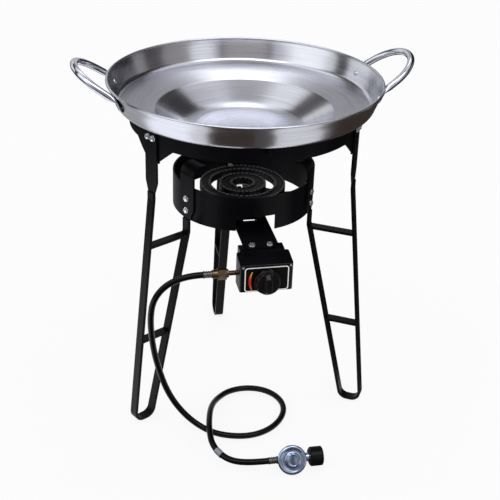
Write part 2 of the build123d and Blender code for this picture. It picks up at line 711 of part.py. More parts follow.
# Bolts that hold the casting to the strap, from below
with BuildPart() as burner_bolts:
    with BuildSketch(Plane.XY.offset(STRAP_LOW_Z - SEAT_GAP)):
        with Locations((-outer_mid, 0), (outer_mid, 0)):
            RegularPolygon(BOLT_HEAD_ACROSS / 2, 6, major_radius=False)
    extrude(amount=-BOLT_HEAD_HEIGHT)
    with BuildSketch(Plane.XY.offset(STRAP_LOW_Z - SEAT_GAP)):
        with Locations((-outer_mid, 0), (outer_mid, 0)):
            Circle(BOLT_DIAMETER / 2)
    extrude(amount=BURNER_LOW_Z + BURNER_WALL - 2 - STRAP_LOW_Z)
save(burner_bolts.part, "burner_bolts")

# Control bracket: flat sheet, two ears turned down at the rear for the jets
box_rear = BOX_FRONT_Y + BOX_DEPTH
bracket_low = BRACKET_TOP_Z - BRACKET_SHEET
box_step = BOX_FRONT_Y + BOX_FACE_DEPTH
bracket_front = box_step + 4
bolt_y = box_step + BRACKET_BOLT_SET
inlet_y = BOX_FRONT_Y + INLET_SET
bracket_spots = ((-BRACKET_BOLT_SPREAD / 2, bolt_y), (BRACKET_BOLT_SPREAD / 2, bolt_y))
ear_face = BRACKET_REAR_Y - BRACKET_SHEET
with BuildPart() as control_bracket:
    with BuildSketch(Plane.XY.offset(bracket_low)):
        with Locations((0, (BRACKET_REAR_Y + bracket_front) / 2)):
            Rectangle(BRACKET_WIDTH, BRACKET_REAR_Y - bracket_front)
    extrude(amount=BRACKET_SHEET)
    with BuildSketch(Plane.XY.offset(BRACKET_TOP_Z)):
        for ear_x in (-MIXER_X, MIXER_X):
            with Locations((ear_x, BRACKET_REAR_Y - BRACKET_SHEET / 2)):
                Rectangle(BRACKET_EAR_WIDTH, BRACKET_SHEET)
    extrude(amount=-BRACKET_EAR_DROP)
    with BuildSketch(Plane.XY.offset(BRACKET_TOP_Z)):
        with Locations((0, BRACKET_SLOT_Y)):
            Rectangle(BRACKET_SLOT_WIDTH, BRACKET_SLOT_DEPTH)
        with Locations((-POST_X, POST_Y), (POST_X, POST_Y), *bracket_spots):
            Circle(hole)
    extrude(amount=-2 * BRACKET_SHEET, mode=Mode.SUBTRACT)
    with BuildSketch(Plane(origin=(0, ear_face, MIXER_Z), x_dir=(1, 0, 0), z_dir=(0, -1, 0))):
        with Locations((-MIXER_X, 0), (MIXER_X, 0)):
            Circle(JET_THREAD / 2 + HOLE_GAP)
    extrude(amount=2 * BRACKET_SHEET, both=True, mode=Mode.SUBTRACT)
save(control_bracket.part, "control_bracket")

with BuildPart() as bracket_screws:
    with BuildSketch(Plane.XY.offset(bracket_low - SEAT_GAP)):
        with Locations((-POST_X, POST_Y), (POST_X, POST_Y)):
            RegularPolygon(BOLT_HEAD_ACROSS / 2, 6, major_radius=False)
    extrude(amount=-BOLT_HEAD_HEIGHT)
    with BuildSketch(Plane.XY.offset(bracket_low - SEAT_GAP)):
        with Locations((-POST_X, POST_Y), (POST_X, POST_Y)):
            Circle(BOLT_DIAMETER / 2)
    extrude(amount=BRACKET_SHEET + 11)
save(bracket_screws.part, "bracket_screws")

box_top = bracket_low - WELD_GAP
with BuildPart() as bracket_bolts:
    with BuildSketch(Plane.XY.offset(BRACKET_TOP_Z + SEAT_GAP)):
        with Locations(*bracket_spots):
            RegularPolygon(BOLT_HEAD_ACROSS / 2, 6, major_radius=False)
    extrude(amount=BOLT_HEAD_HEIGHT)
    with BuildSketch(Plane.XY.offset(BRACKET_TOP_Z + SEAT_GAP)):
        with Locations(*bracket_spots):
            Circle(BOLT_DIAMETER / 2)
    extrude(amount=-(BRACKET_SHEET + WELD_GAP + BOX_SHEET + 2 * SEAT_GAP + bolt_reach))
save(bracket_bolts.part, "bracket_bolts")

with BuildPart() as bracket_nuts:
    with BuildSketch(Plane.XY.offset(box_top - BOX_SHEET - SEAT_GAP)):
        with Locations(*bracket_spots):
            RegularPolygon(NUT_ACROSS / 2, 6, major_radius=False)
            Circle(hole, mode=Mode.SUBTRACT)
    extrude(amount=-NUT_HEIGHT)
save(bracket_nuts.part, "bracket_nuts")

# Control cover: a hood open at the back and below
panel = Plane(origin=(0, BOX_FRONT_Y, KNOB_Z), x_dir=(1, 0, 0), z_dir=(0, -1, 0))
fascia_spots = [(side * FASCIA_SCREW_SPREAD / 2, FASCIA_SCREW_RISE) for side in (-1, 1)]


def hood(inset, low, back):
    """Side outline of the hood, drawn in from the outside by an inset."""
    return (
        (back, low),
        (back, box_top - inset),
        (box_step + inset, box_top - inset),
        (box_step + inset, BOX_STEP_Z - inset),
        (BOX_FRONT_Y + inset, BOX_FACE_TOP_Z - inset),
        (BOX_FRONT_Y + inset, low),
    )


with BuildPart() as cover_core:
    with BuildSketch(Plane.XY.offset(BOX_LOW_Z - 10)):
        with Locations((0, (BOX_FRONT_Y + box_step) / 2)):
            RectangleRounded(
                BOX_FACE_WIDTH - 2 * BOX_SHEET, BOX_FACE_DEPTH - 2 * BOX_SHEET, BOX_CORNER - BOX_SHEET
            )
        with Locations((0, box_step - BOX_SHEET + (BOX_DEPTH - BOX_FACE_DEPTH) / 2)):
            Rectangle(BOX_REAR_WIDTH - 2 * BOX_SHEET, BOX_DEPTH - BOX_FACE_DEPTH + 12)
    extrude(amount=box_top - BOX_LOW_Z + 20)
    with BuildSketch(Plane.YZ):
        with BuildLine():
            FilletPolyline(
                *hood(BOX_SHEET, BOX_LOW_Z - 10, box_rear + 20),
                radius=[0, 0, 0, 0, BOX_EDGE / 4, 0],
                close=True,
            )
        make_face()
    extrude(amount=BOX_FACE_WIDTH, both=True, mode=Mode.INTERSECT)

with BuildPart() as control_cover:
    with BuildSketch(Plane.XY.offset(BOX_LOW_Z)):
        with Locations((0, (BOX_FRONT_Y + box_step) / 2)):
            RectangleRounded(BOX_FACE_WIDTH, BOX_FACE_DEPTH, BOX_CORNER)
        with Locations((0, (BOX_FRONT_Y + BOX_FACE_DEPTH / 2 + box_rear) / 2)):
            Rectangle(BOX_REAR_WIDTH, BOX_DEPTH - BOX_FACE_DEPTH / 2)
    extrude(amount=box_top - BOX_LOW_Z)
    with BuildSketch(Plane.YZ):
        with BuildLine():
            FilletPolyline(
                *hood(0, BOX_LOW_Z, box_rear),
                radius=[0, 0, 0, 0, BOX_EDGE, 0],
                close=True,
            )
        make_face()
    extrude(amount=BOX_FACE_WIDTH, both=True, mode=Mode.INTERSECT)
    add(cover_core.part, mode=Mode.SUBTRACT)
    with BuildSketch(panel):
        Circle(PLUNGER_DIAMETER / 2 + 1)
        with Locations(*fascia_spots):
            Circle(FASCIA_SCREW_HEAD / 4 + HOLE_GAP)
    extrude(amount=-2 * BOX_SHEET, mode=Mode.SUBTRACT)
    with BuildSketch(Plane.XY.offset(box_top)):
        with Locations(*bracket_spots):
            Circle(hole)
    extrude(amount=-2 * BOX_SHEET, mode=Mode.SUBTRACT)
    with BuildSketch(Plane(origin=(0, inlet_y, KNOB_Z), x_dir=(0, 1, 0), z_dir=(-1, 0, 0))):
        Circle(NIPPLE_DIAMETER / 2 + SEAT_GAP)
    extrude(amount=BOX_FACE_WIDTH, mode=Mode.SUBTRACT)
save(control_cover.part, "control_cover")

with BuildPart() as fascia_panel:
    with BuildSketch(panel.offset(WELD_GAP)):
        with Locations((0, FASCIA_RISE)):
            RectangleRounded(FASCIA_WIDTH, FASCIA_HEIGHT, FASCIA_CORNER)
        Circle(PLUNGER_DIAMETER / 2 + 1, mode=Mode.SUBTRACT)
    extrude(amount=FASCIA_SHEET)
save(fascia_panel.part, "fascia_panel")

with BuildPart() as fascia_screws:
    with BuildSketch(panel.offset(SEAT_GAP)):
        with Locations(*fascia_spots):
            Circle(FASCIA_SCREW_HEAD / 2)
    extrude(amount=1.6)
    with BuildSketch(panel.offset(SEAT_GAP)):
        with Locations(*fascia_spots):
            Circle(FASCIA_SCREW_HEAD / 4)
    extrude(amount=-6)
save(fascia_screws.part, "fascia_screws")

# Valve: the plunger slides in its neck, the stem turns in the plunger
with BuildPart() as valve_body:
    with BuildSketch(panel.offset(VALVE_REAR)):
        Rectangle(VALVE_WIDTH, VALVE_HEIGHT)
    extrude(amount=VALVE_SHOULDER - VALVE_REAR)
    with BuildSketch(panel.offset(VALVE_SHOULDER)):
        Circle(VALVE_NECK / 2)
    extrude(amount=-BOX_SHEET - WELD_GAP - VALVE_SHOULDER)
    with BuildSketch(panel.offset(VALVE_BORE_END)):
        Circle(PLUNGER_DIAMETER / 2 + RUN_GAP)
    extrude(amount=-VALVE_BORE_END, mode=Mode.SUBTRACT)
save(valve_body.part, "valve_body")

with BuildPart() as valve_plunger:
    with BuildSketch(panel.offset(PLUNGER_REAR)):
        Circle(PLUNGER_DIAMETER / 2)
        Circle(STEM_DIAMETER / 2 + RUN_GAP, mode=Mode.SUBTRACT)
    extrude(amount=PLUNGER_FRONT - PLUNGER_REAR)
save(valve_plunger.part, "valve_plunger")

with BuildPart() as valve_stem:
    with BuildSketch(panel.offset(STEM_REAR)):
        Circle(STEM_DIAMETER / 2)
    extrude(amount=STEM_FRONT - STEM_REAR)
save(valve_stem.part, "valve_stem")

knob_top = KNOB_BACK + KNOB_SKIRT + KNOB_BODY
with BuildPart() as knob:
    with BuildSketch(panel.offset(KNOB_BACK)):
        Circle(KNOB_DIAMETER / 2)
    extrude(amount=KNOB_SKIRT, taper=6)
    with BuildSketch(panel.offset(KNOB_BACK + KNOB_SKIRT)):
        Circle(KNOB_BODY_DIAMETER / 2)
    extrude(amount=KNOB_BODY, taper=4)
    with BuildSketch(panel.offset(knob_top)):
        RectangleRounded(KNOB_GRIP_WIDTH, KNOB_BODY_DIAMETER - 4, KNOB_GRIP_WIDTH / 2 - 0.5)
    extrude(amount=KNOB_GRIP, taper=4)
    with BuildSketch(panel.offset(KNOB_BACK)):
        Circle(STEM_DIAMETER / 2 + HOLE_GAP)
    extrude(amount=STEM_FRONT + SEAT_GAP - KNOB_BACK, mode=Mode.SUBTRACT)
save(knob.part, "knob")

# Gas pipes from the valve to the jets
jet_back = ear_face - SEAT_GAP - JET_HEX
valve_back_y = BOX_FRONT_Y - VALVE_REAR
for pipe_side, sign in (("left", -1), ("right", 1)):
    with BuildPart() as gas_pipe:
        with BuildLine():
            FilletPolyline(
                (sign * PIPE_PORT_X, valve_back_y + WELD_GAP, KNOB_Z),
                (sign * PIPE_PORT_X, valve_back_y + 16, KNOB_Z),
                (sign * MIXER_X, valve_back_y + 42, MIXER_Z),
                (sign * MIXER_X, jet_back - WELD_GAP, MIXER_Z),
                radius=PIPE_BEND,
            )
        pipe_path = gas_pipe.pending_edges_as_wire
        with BuildSketch(Plane(origin=pipe_path @ 0, z_dir=pipe_path % 0)):
            Circle(PIPE_DIAMETER / 2)
        sweep(path=pipe_path)
    save(gas_pipe.part, f"gas_pipe_{pipe_side}")

with BuildPart() as jets:
    for jet_x in (-MIXER_X, MIXER_X):
        with BuildSketch(Plane(origin=(jet_x, jet_back, MIXER_Z), x_dir=(1, 0, 0), z_dir=(0, 1, 0))):
            RegularPolygon(JET_ACROSS / 2, 6, major_radius=False)
        extrude(amount=JET_HEX)
        with BuildSketch(Plane(origin=(jet_x, jet_back, MIXER_Z), x_dir=(1, 0, 0), z_dir=(0, 1, 0))):
            Circle(JET_THREAD / 2)
        extrude(amount=JET_HEX + JET_SHANK)
        with BuildSketch(Plane(origin=(jet_x, jet_back, MIXER_Z), x_dir=(1, 0, 0), z_dir=(0, 1, 0))):
            Circle(JET_TIP / 2)
        extrude(amount=JET_HEX + JET_SHANK + JET_TIP_LENGTH)
save(jets.part, "jets")

# Inlet fittings, one after another along -X
valve_side = -VALVE_WIDTH / 2


def inlet(x):
    """Plane across the inlet line, facing -X."""
    return Plane(origin=(x, inlet_y, KNOB_Z), x_dir=(0, 1, 0), z_dir=(-1, 0, 0))


with BuildPart() as inlet_nipple:
    with BuildSketch(inlet(valve_side - WELD_GAP)):
        Circle(NIPPLE_DIAMETER / 2)
    extrude(amount=valve_side - WELD_GAP - NIPPLE_END_X)
save(inlet_nipple.part, "inlet_nipple")

union_start = NIPPLE_END_X - WELD_GAP
with BuildPart() as inlet_union:
    with BuildSketch(inlet(union_start)):
        Circle(UNION_ACROSS * 0.4)
    extrude(amount=UNION_LENGTH)
    with BuildSketch(inlet(union_start - UNION_LENGTH * 0.12)):
        RegularPolygon(UNION_ACROSS / 2, 6, major_radius=False)
    extrude(amount=UNION_LENGTH * 0.56)
save(inlet_union.part, "inlet_union")

ferrule_start = union_start - UNION_LENGTH - WELD_GAP
with BuildPart() as hose_ferrule_inlet:
    with BuildSketch(inlet(ferrule_start)):
        Circle(FERRULE_DIAMETER / 2)
    extrude(amount=FERRULE_LENGTH)
save(hose_ferrule_inlet.part, "hose_ferrule_inlet")

# Hose: down in front of the left leg, one loop on the floor, over itself and to the regulator
hose_start = ferrule_start - FERRULE_LENGTH - WELD_GAP
floor_z = HOSE_DIAMETER / 2 + 0.5
HOSE_POINTS = (
    (hose_start, inlet_y, KNOB_Z),
    (hose_start - 33, inlet_y, KNOB_Z),
    (-193, -220, 378),
    (-217, -211, 340),
    (-222, -201, 293),
    (-219, -191, 241),
    (-212, -181, 189),
    (-201, -179, 142),
    (-187, -179, 96),
    (-165, -184, 54),
    (-134, -199, 22),
    (-97, -223, floor_z),
    (-55, -243, floor_z),
    (-11, -247, floor_z),
    (30, -231, floor_z),
    (61, -200, floor_z),
    (78, -160, floor_z),
    (72, -118, floor_z),
    (45, -86, floor_z),
    (5, -73, floor_z),
    (-36, -83, floor_z + 2),
    (-66, -114, 15),
    (-86, -154, 27),
    (-99, -202, 36),
    (-107, -250, 36),
    (-106.5, -288.5, 24),
    (REG_FERRULE_X - 84, REG_Y + 22.5, 17),
    (REG_FERRULE_X - 45, REG_Y, REG_Z),
    (REG_FERRULE_X - WELD_GAP, REG_Y, REG_Z),
)
hose_radii = bend_radii(HOSE_POINTS)
with BuildPart() as gas_hose:
    with BuildLine():
        FilletPolyline(*HOSE_POINTS, radius=hose_radii)
    hose_path = gas_hose.pending_edges_as_wire
    with BuildSketch(Plane(origin=hose_path @ 0, z_dir=hose_path % 0)):
        Circle(HOSE_DIAMETER / 2)
    sweep(path=hose_path)
save(gas_hose.part, "gas_hose")

hose_section = math.pi * (HOSE_DIAMETER / 2) ** 2
print("hose bend radii", [round(radius) for radius in hose_radii])
print("hose length", round(hose_path.length), "tube volume / section x length",
      round(gas_hose.part.volume / (hose_section * hose_path.length), 4))

# Regulator: ferrule, body with its leaning diaphragm case, nipple and coupling nut
lean = math.radians(REG_LEAN_DEG)


def supply(x):
    """Plane across the regulator's line, facing +X."""
    return Plane(origin=(x, REG_Y, REG_Z), x_dir=(0, 1, 0), z_dir=(1, 0, 0))


outlet_x = REG_FERRULE_X + FERRULE_LENGTH + WELD_GAP
barrel_x = outlet_x + REG_OUTLET
stub_x = barrel_x + REG_BARREL
tip_x = stub_x + REG_STUB
case_plane = Plane(
    origin=(barrel_x + REG_BARREL / 2, REG_Y, REG_Z),
    x_dir=(1, 0, 0),
    z_dir=(0, -math.cos(lean), math.sin(lean)),
)

with BuildPart() as hose_ferrule_regulator:
    with BuildSketch(supply(REG_FERRULE_X)):
        Circle(FERRULE_DIAMETER / 2)
    extrude(amount=FERRULE_LENGTH)
save(hose_ferrule_regulator.part, "hose_ferrule_regulator")

with BuildPart() as regulator_body:
    with BuildSketch(supply(outlet_x)):
        Circle(REG_OUTLET_DIAMETER / 2)
    extrude(amount=REG_OUTLET + REG_BARREL / 2)
    with BuildSketch(supply(barrel_x)):
        Circle(REG_BARREL_DIAMETER / 2)
    extrude(amount=REG_BARREL)
    with BuildSketch(supply(stub_x - REG_BARREL / 2)):
        Circle(REG_STUB_DIAMETER / 2)
    extrude(amount=REG_BARREL / 2 + REG_STUB + NUT_WALL + SEAT_GAP)
    with BuildSketch(case_plane):
        Circle(REG_BARREL_DIAMETER / 2 + 3)
    with BuildSketch(case_plane.offset(REG_FLANGE_BACK)):
        Circle(REG_FLANGE_DIAMETER / 2 - 1)
    loft()
    with BuildSketch(case_plane.offset(REG_FLANGE_BACK)):
        Circle(REG_FLANGE_DIAMETER / 2)
    extrude(amount=REG_FLANGE)
save(regulator_body.part, "regulator_body")

bonnet_start = REG_FLANGE_BACK + REG_FLANGE + WELD_GAP
with BuildPart() as regulator_bonnet:
    with BuildSketch(case_plane.offset(bonnet_start)):
        Circle(REG_BONNET_DIAMETER / 2)
    extrude(amount=REG_BONNET, taper=30)
save(regulator_bonnet.part, "regulator_bonnet")

with BuildPart() as regulator_cap:
    with BuildSketch(case_plane.offset(bonnet_start + REG_BONNET + WELD_GAP)):
        Circle(REG_CAP_DIAMETER / 2)
    extrude(amount=REG_CAP)
save(regulator_cap.part, "regulator_cap")

nipple_x = tip_x + NUT_WALL + SEAT_GAP + WELD_GAP
with BuildPart() as regulator_nipple:
    with BuildSketch(supply(nipple_x)):
        Circle(REG_COLLAR_DIAMETER / 2)
    extrude(amount=REG_COLLAR)
    with BuildSketch(supply(nipple_x)):
        Circle(REG_TIP_DIAMETER / 2)
    extrude(amount=REG_COLLAR + REG_TIP)
save(regulator_nipple.part, "regulator_nipple")

nut_end = tip_x + NUT_LENGTH
with BuildPart() as coupling_nut:
    with BuildSketch(supply(tip_x)):
        Circle(NUT_DIAMETER / 2)
        with PolarLocations(NUT_DIAMETER / 2 + NUT_RIB_DIAMETER / 6, NUT_RIBS):
            Circle(NUT_RIB_DIAMETER / 2, mode=Mode.SUBTRACT)
        Circle(REG_STUB_DIAMETER / 2 + RUN_GAP, mode=Mode.SUBTRACT)
    extrude(amount=NUT_LENGTH)
    with BuildSketch(supply(tip_x + NUT_WALL)):
        Circle(NUT_RELIEF_DIAMETER / 2)
    extrude(amount=NUT_LENGTH - NUT_WALL, mode=Mode.SUBTRACT)
    with BuildSketch(supply(nut_end - NUT_THREAD)):
        Circle(NUT_THREAD_DIAMETER / 2)
    extrude(amount=NUT_THREAD, mode=Mode.SUBTRACT)
save(coupling_nut.part, "coupling_nut")
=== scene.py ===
import json
import logging
import math
from collections.abc import Sequence
from dataclasses import dataclass, field
from enum import Enum

import bmesh
import bpy
from mathutils import Matrix, Vector


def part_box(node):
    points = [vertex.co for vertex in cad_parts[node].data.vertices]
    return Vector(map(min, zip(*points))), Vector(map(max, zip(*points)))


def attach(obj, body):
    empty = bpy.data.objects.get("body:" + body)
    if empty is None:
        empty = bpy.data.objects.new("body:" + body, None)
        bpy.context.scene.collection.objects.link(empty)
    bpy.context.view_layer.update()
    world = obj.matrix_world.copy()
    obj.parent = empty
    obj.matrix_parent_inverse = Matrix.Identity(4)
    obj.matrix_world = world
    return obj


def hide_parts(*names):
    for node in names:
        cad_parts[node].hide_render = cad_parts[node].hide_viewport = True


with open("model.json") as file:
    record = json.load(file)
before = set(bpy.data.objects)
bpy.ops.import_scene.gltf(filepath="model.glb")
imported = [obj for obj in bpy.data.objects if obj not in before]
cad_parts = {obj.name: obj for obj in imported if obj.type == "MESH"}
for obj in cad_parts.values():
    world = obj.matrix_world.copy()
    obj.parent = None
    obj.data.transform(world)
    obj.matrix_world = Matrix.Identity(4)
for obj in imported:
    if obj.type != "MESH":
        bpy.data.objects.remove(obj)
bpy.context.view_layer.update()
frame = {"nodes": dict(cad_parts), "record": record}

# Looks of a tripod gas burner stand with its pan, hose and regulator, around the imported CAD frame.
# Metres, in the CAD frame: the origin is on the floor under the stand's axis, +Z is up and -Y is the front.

MM = 0.001
Colour = tuple[float, float, float]
log = logging.getLogger("burner_stand")


class Body(Enum):
    """CAD bodies that pieces ride on."""

    STAND = "stand"
    PAN = "pan"
    KNOB = "knob"
    NUT = "nut"


class Slot(Enum):
    """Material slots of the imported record."""

    STAINLESS = "stainless"
    HANDLE_STEEL = "handle_steel"
    BLACK_PAINT = "black_paint"
    ZINC = "zinc"
    CAST_IRON = "cast_iron"
    FASCIA = "fascia"
    BRASS = "brass"
    PIPE = "pipe"
    KNOB_PLASTIC = "knob_plastic"
    FERRULE_STEEL = "ferrule_steel"
    HOSE_RUBBER = "hose_rubber"
    REGULATOR_ZINC = "regulator_zinc"
    NUT_PLASTIC = "nut_plastic"


class Leg(Enum):
    """Legs by their angle round the stand, in degrees from the front towards +X."""

    LEFT = -60.0
    RIGHT = 60.0
    REAR = 180.0

    @property
    def outward(self) -> Vector:
        """Unit vector from the axis to the leg."""
        turn = math.radians(self.value)
        return Vector((math.sin(turn), -math.cos(turn), 0))


class Side(Enum):
    """Sides of the pan, by the sign of their X."""

    LEFT = -1
    RIGHT = 1


# Shader maths


class Signal:
    """A shader socket that takes part in Python arithmetic.

    Each operation adds one Math node to the bench that owns the socket.
    """

    def __init__(self, bench: "Bench", socket: bpy.types.NodeSocket) -> None:
        """Wrap a socket.

        Args:
            bench: the material under construction.
            socket: the output socket to wrap.
        """
        self.bench = bench
        self.socket = socket

    def __add__(self, other: "Value") -> "Signal":
        """Sum."""
        return self.bench.math("ADD", self, other)

    __radd__ = __add__

    def __sub__(self, other: "Value") -> "Signal":
        """Difference."""
        return self.bench.math("SUBTRACT", self, other)

    def __rsub__(self, other: "Value") -> "Signal":
        """Reflected difference."""
        return self.bench.math("SUBTRACT", other, self)

    def __mul__(self, other: "Value") -> "Signal":
        """Product."""
        return self.bench.math("MULTIPLY", self, other)

    __rmul__ = __mul__

    def __truediv__(self, other: "Value") -> "Signal":
        """Quotient."""
        return self.bench.math("DIVIDE", self, other)

    def __rtruediv__(self, other: "Value") -> "Signal":
        """Reflected quotient."""
        return self.bench.math("DIVIDE", other, self)

    def __abs__(self) -> "Signal":
        """Magnitude."""
        return self.bench.math("ABSOLUTE", self)

    def over(self, limit: "Value") -> "Signal":
        """1 where this is greater than a limit, else 0."""
        return self.bench.math("GREATER_THAN", self, limit)

    def under(self, limit: "Value") -> "Signal":
        """1 where this is less than a limit, else 0."""
        return self.bench.math("LESS_THAN", self, limit)

    def at_most(self, other: "Value") -> "Signal":
        """Smaller of two."""
        return self.bench.math("MINIMUM", self, other)

    def at_least(self, other: "Value") -> "Signal":
        """Larger of two."""
        return self.bench.math("MAXIMUM", self, other)


Value = Signal | float


class Bench:
    """Builds the nodes of one material."""

    def __init__(self, name: str, tree: bpy.types.NodeTree | None = None) -> None:
        """Start an empty material, or clear the world's nodes.

        Args:
            name: the material's name.
            tree: the world's nodes, where there is no material.
        """
        self.material = None
        if tree is None:
            self.material = bpy.data.materials.new(name)
            self.material.use_nodes = True
        self.tree = tree or self.material.node_tree
        self.tree.nodes.clear()

    def node(self, kind: str, settings: dict | None = None, inputs: dict | None = None) -> bpy.types.Node:
        """Add any node.

        Args:
            kind: the node's type name.
            settings: attributes set first; "stops" fills a colour ramp.
            inputs: socket values or links, by socket name or index.

        Returns:
            The new node.
        """
        made = self.tree.nodes.new(kind)
        for key, value in (settings or {}).items():
            if key == "stops":
                fill_ramp(made.color_ramp, value)
            else:
                setattr(made, key, value)
        for key, value in (inputs or {}).items():
            socket = made.inputs[key]
            if isinstance(value, Signal):
                self.tree.links.new(value.socket, socket)
            else:
                socket.default_value = value
        return made

    def signal(
        self, kind: str, output: str | int, settings: dict | None = None, inputs: dict | None = None
    ) -> Signal:
        """Add a node and wrap one of its outputs.

        Args:
            kind: the node's type name.
            output: the output socket's name or index.
            settings: attributes set first.
            inputs: socket values or links.

        Returns:
            The wrapped output.
        """
        return Signal(self, self.node(kind, settings, inputs).outputs[output])

    def math(self, operation: str, *values: Value) -> Signal:
        """Add a Math node.

        Args:
            operation: its operation.
            values: its operands.

        Returns:
            The result.
        """
        return self.signal("ShaderNodeMath", 0, {"operation": operation}, dict(enumerate(values)))

    def place(self) -> tuple[Signal, Signal, Signal, Signal]:
        """Read the Object coordinates.

        Returns:
            The place as a vector, and its x, y and z.
        """
        vector = self.signal("ShaderNodeTexCoord", "Object")
        split = self.node("ShaderNodeSeparateXYZ", inputs={0: vector})
        return vector, *(Signal(self, out) for out in split.outputs)

    def noise(self, vector: Signal, scale: float, detail: float = 3.0, rough: float = 0.55) -> Signal:
        """Noise from 0 to 1.

        Args:
            vector: where it is read.
            scale: cells per metre.
            detail: octaves.
            rough: weight of the finer octaves.

        Returns:
            The noise value.
        """
        inputs = {"Vector": vector, "Scale": scale, "Detail": detail, "Roughness": rough}
        return self.signal("ShaderNodeTexNoise", 0, inputs=inputs)

    def vector(self, x: Value, y: Value, z: Value) -> Signal:
        """Vector from three values."""
        return self.signal("ShaderNodeCombineXYZ", 0, inputs={0: x, 1: y, 2: z})

    def blend(self, mask: Signal, low: Colour | Signal, high: Colour | Signal) -> Signal:
        """Mix two colours by a mask.

        Args:
            mask: 0 for low, 1 for high.
            low: first colour.
            high: second colour.

        Returns:
            The mixed colour.
        """
        low = low if isinstance(low, Signal) else (*low, 1.0)
        high = high if isinstance(high, Signal) else (*high, 1.0)
        return self.signal("ShaderNodeMix", 2, {"data_type": "RGBA"}, {0: mask, 6: low, 7: high})

    def bump(self, height: Signal, depth: float, strength: float = 1.0) -> Signal:
        """Normal from a height.

        Args:
            height: value from 0 to 1.
            depth: metres that a height of 1 stands for.
            strength: share of the effect.

        Returns:
            The bent normal.
        """
        inputs = {"Height": height, "Distance": depth, "Strength": strength}
        return self.signal("ShaderNodeBump", 0, inputs=inputs)

    def background_seen(self) -> Signal:
        """Pick out the rays that see the white background: camera, gloss and glass.

        Returns:
            1 for those rays, else 0.
        """
        rays = self.node("ShaderNodeLightPath").outputs
        camera, gloss, glass = (
            Signal(self, rays[kind]) for kind in ("Is Camera Ray", "Is Glossy Ray", "Is Transmission Ray")
        )
        return camera.at_least(gloss).at_least(glass)

    def close(self, **inputs: object) -> bpy.types.Material:
        """Add the surface shader and the output.

        Args:
            inputs: Principled sockets, with underscores for spaces.

        Returns:
            The finished material.
        """
        named = {key.replace("_", " "): value for key, value in inputs.items()}
        surface = self.signal("ShaderNodeBsdfPrincipled", 0, inputs=named)
        self.node("ShaderNodeOutputMaterial", inputs={"Surface": surface})
        return self.material


def fill_ramp(ramp: bpy.types.ColorRamp, stops: Sequence[tuple[float, Colour]]) -> None:
    """Set a colour ramp's stops.

    Args:
        ramp: the ramp.
        stops: position and colour of each stop.
    """
    while len(ramp.elements) < len(stops):
        ramp.elements.new(1.0)
    for element, (position, colour) in zip(ramp.elements, stops):
        element.position = position
        element.color = (*colour, 1.0)


# Finishes


@dataclass(frozen=True)
class SpunStainless:
    """Stainless sheet brushed round the pan's axis."""

    name: str = "spun_stainless"
    pale: Colour = (0.69, 0.70, 0.76)
    dark: Colour = (0.455, 0.462, 0.512)
    rough: float = 0.22
    spread: float = 0.08
    lines_per_metre: float = 380.0
    wall_stretch: float = 1.3
    drift_per_metre: float = 6.0
    band_drift_per_metre: float = 3.0
    band_share: float = 0.04
    smudges_per_metre: float = 9.0
    smudge_spread: float = 0.06
    grain_depth: float = 0.000009
    pull: float = 0.6
    pull_turn: float = 0.25

    def material(self) -> bpy.types.Material:
        """Fine rings that fade along the turn.

        Returns:
            The material.
        """
        bench = Bench(self.name)
        vector, x, y, z = bench.place()
        radius = bench.math("SQRT", x * x + y * y)
        along = (radius + z * self.wall_stretch) * self.lines_per_metre
        drift, slow = self.drift_per_metre, self.band_drift_per_metre
        rings = bench.noise(bench.vector(x * drift, y * drift, along), scale=1.0, detail=4.0, rough=0.7)
        wide = bench.noise(bench.vector(x * slow, y * slow, along * self.band_share), scale=1.0)
        smudge = bench.noise(vector, self.smudges_per_metre)
        tone = (rings * 0.7 + wide * 0.4 - 0.25) * 1.9
        return bench.close(
            Base_Color=bench.blend(tone, self.dark, self.pale),
            Metallic=1.0,
            Roughness=self.rough + (rings - 0.5) * self.spread + (smudge - 0.5) * self.smudge_spread,
            Anisotropic=self.pull,
            Anisotropic_Rotation=self.pull_turn,
            Normal=bench.bump(rings, self.grain_depth, strength=0.6),
        )


@dataclass(frozen=True)
class BrightSteel:
    """Polished or plated steel with fine wear."""

    name: str
    colour: Colour
    rough: float = 0.24
    wear: float = 0.35
    grain_depth: float = 0.00004
    metal: float = 1.0
    clouds_per_metre: float = 60.0
    grains_per_metre: float = 1040.0

    def material(self) -> bpy.types.Material:
        """Metal with dull patches and a light grain.

        Returns:
            The material.
        """
        bench = Bench(self.name)
        vector, *_ = bench.place()
        cloud = bench.noise(vector, self.clouds_per_metre, detail=4.0)
        fine = bench.noise(vector, self.grains_per_metre)
        dull = tuple(c * (1 - self.wear) for c in self.colour)
        return bench.close(
            Base_Color=bench.blend((cloud - 0.3) * 2.2, dull, self.colour),
            Metallic=self.metal,
            Roughness=self.rough + (cloud - 0.5) * self.wear * 0.5,
            Normal=bench.bump(fine, self.grain_depth, strength=0.5),
        )


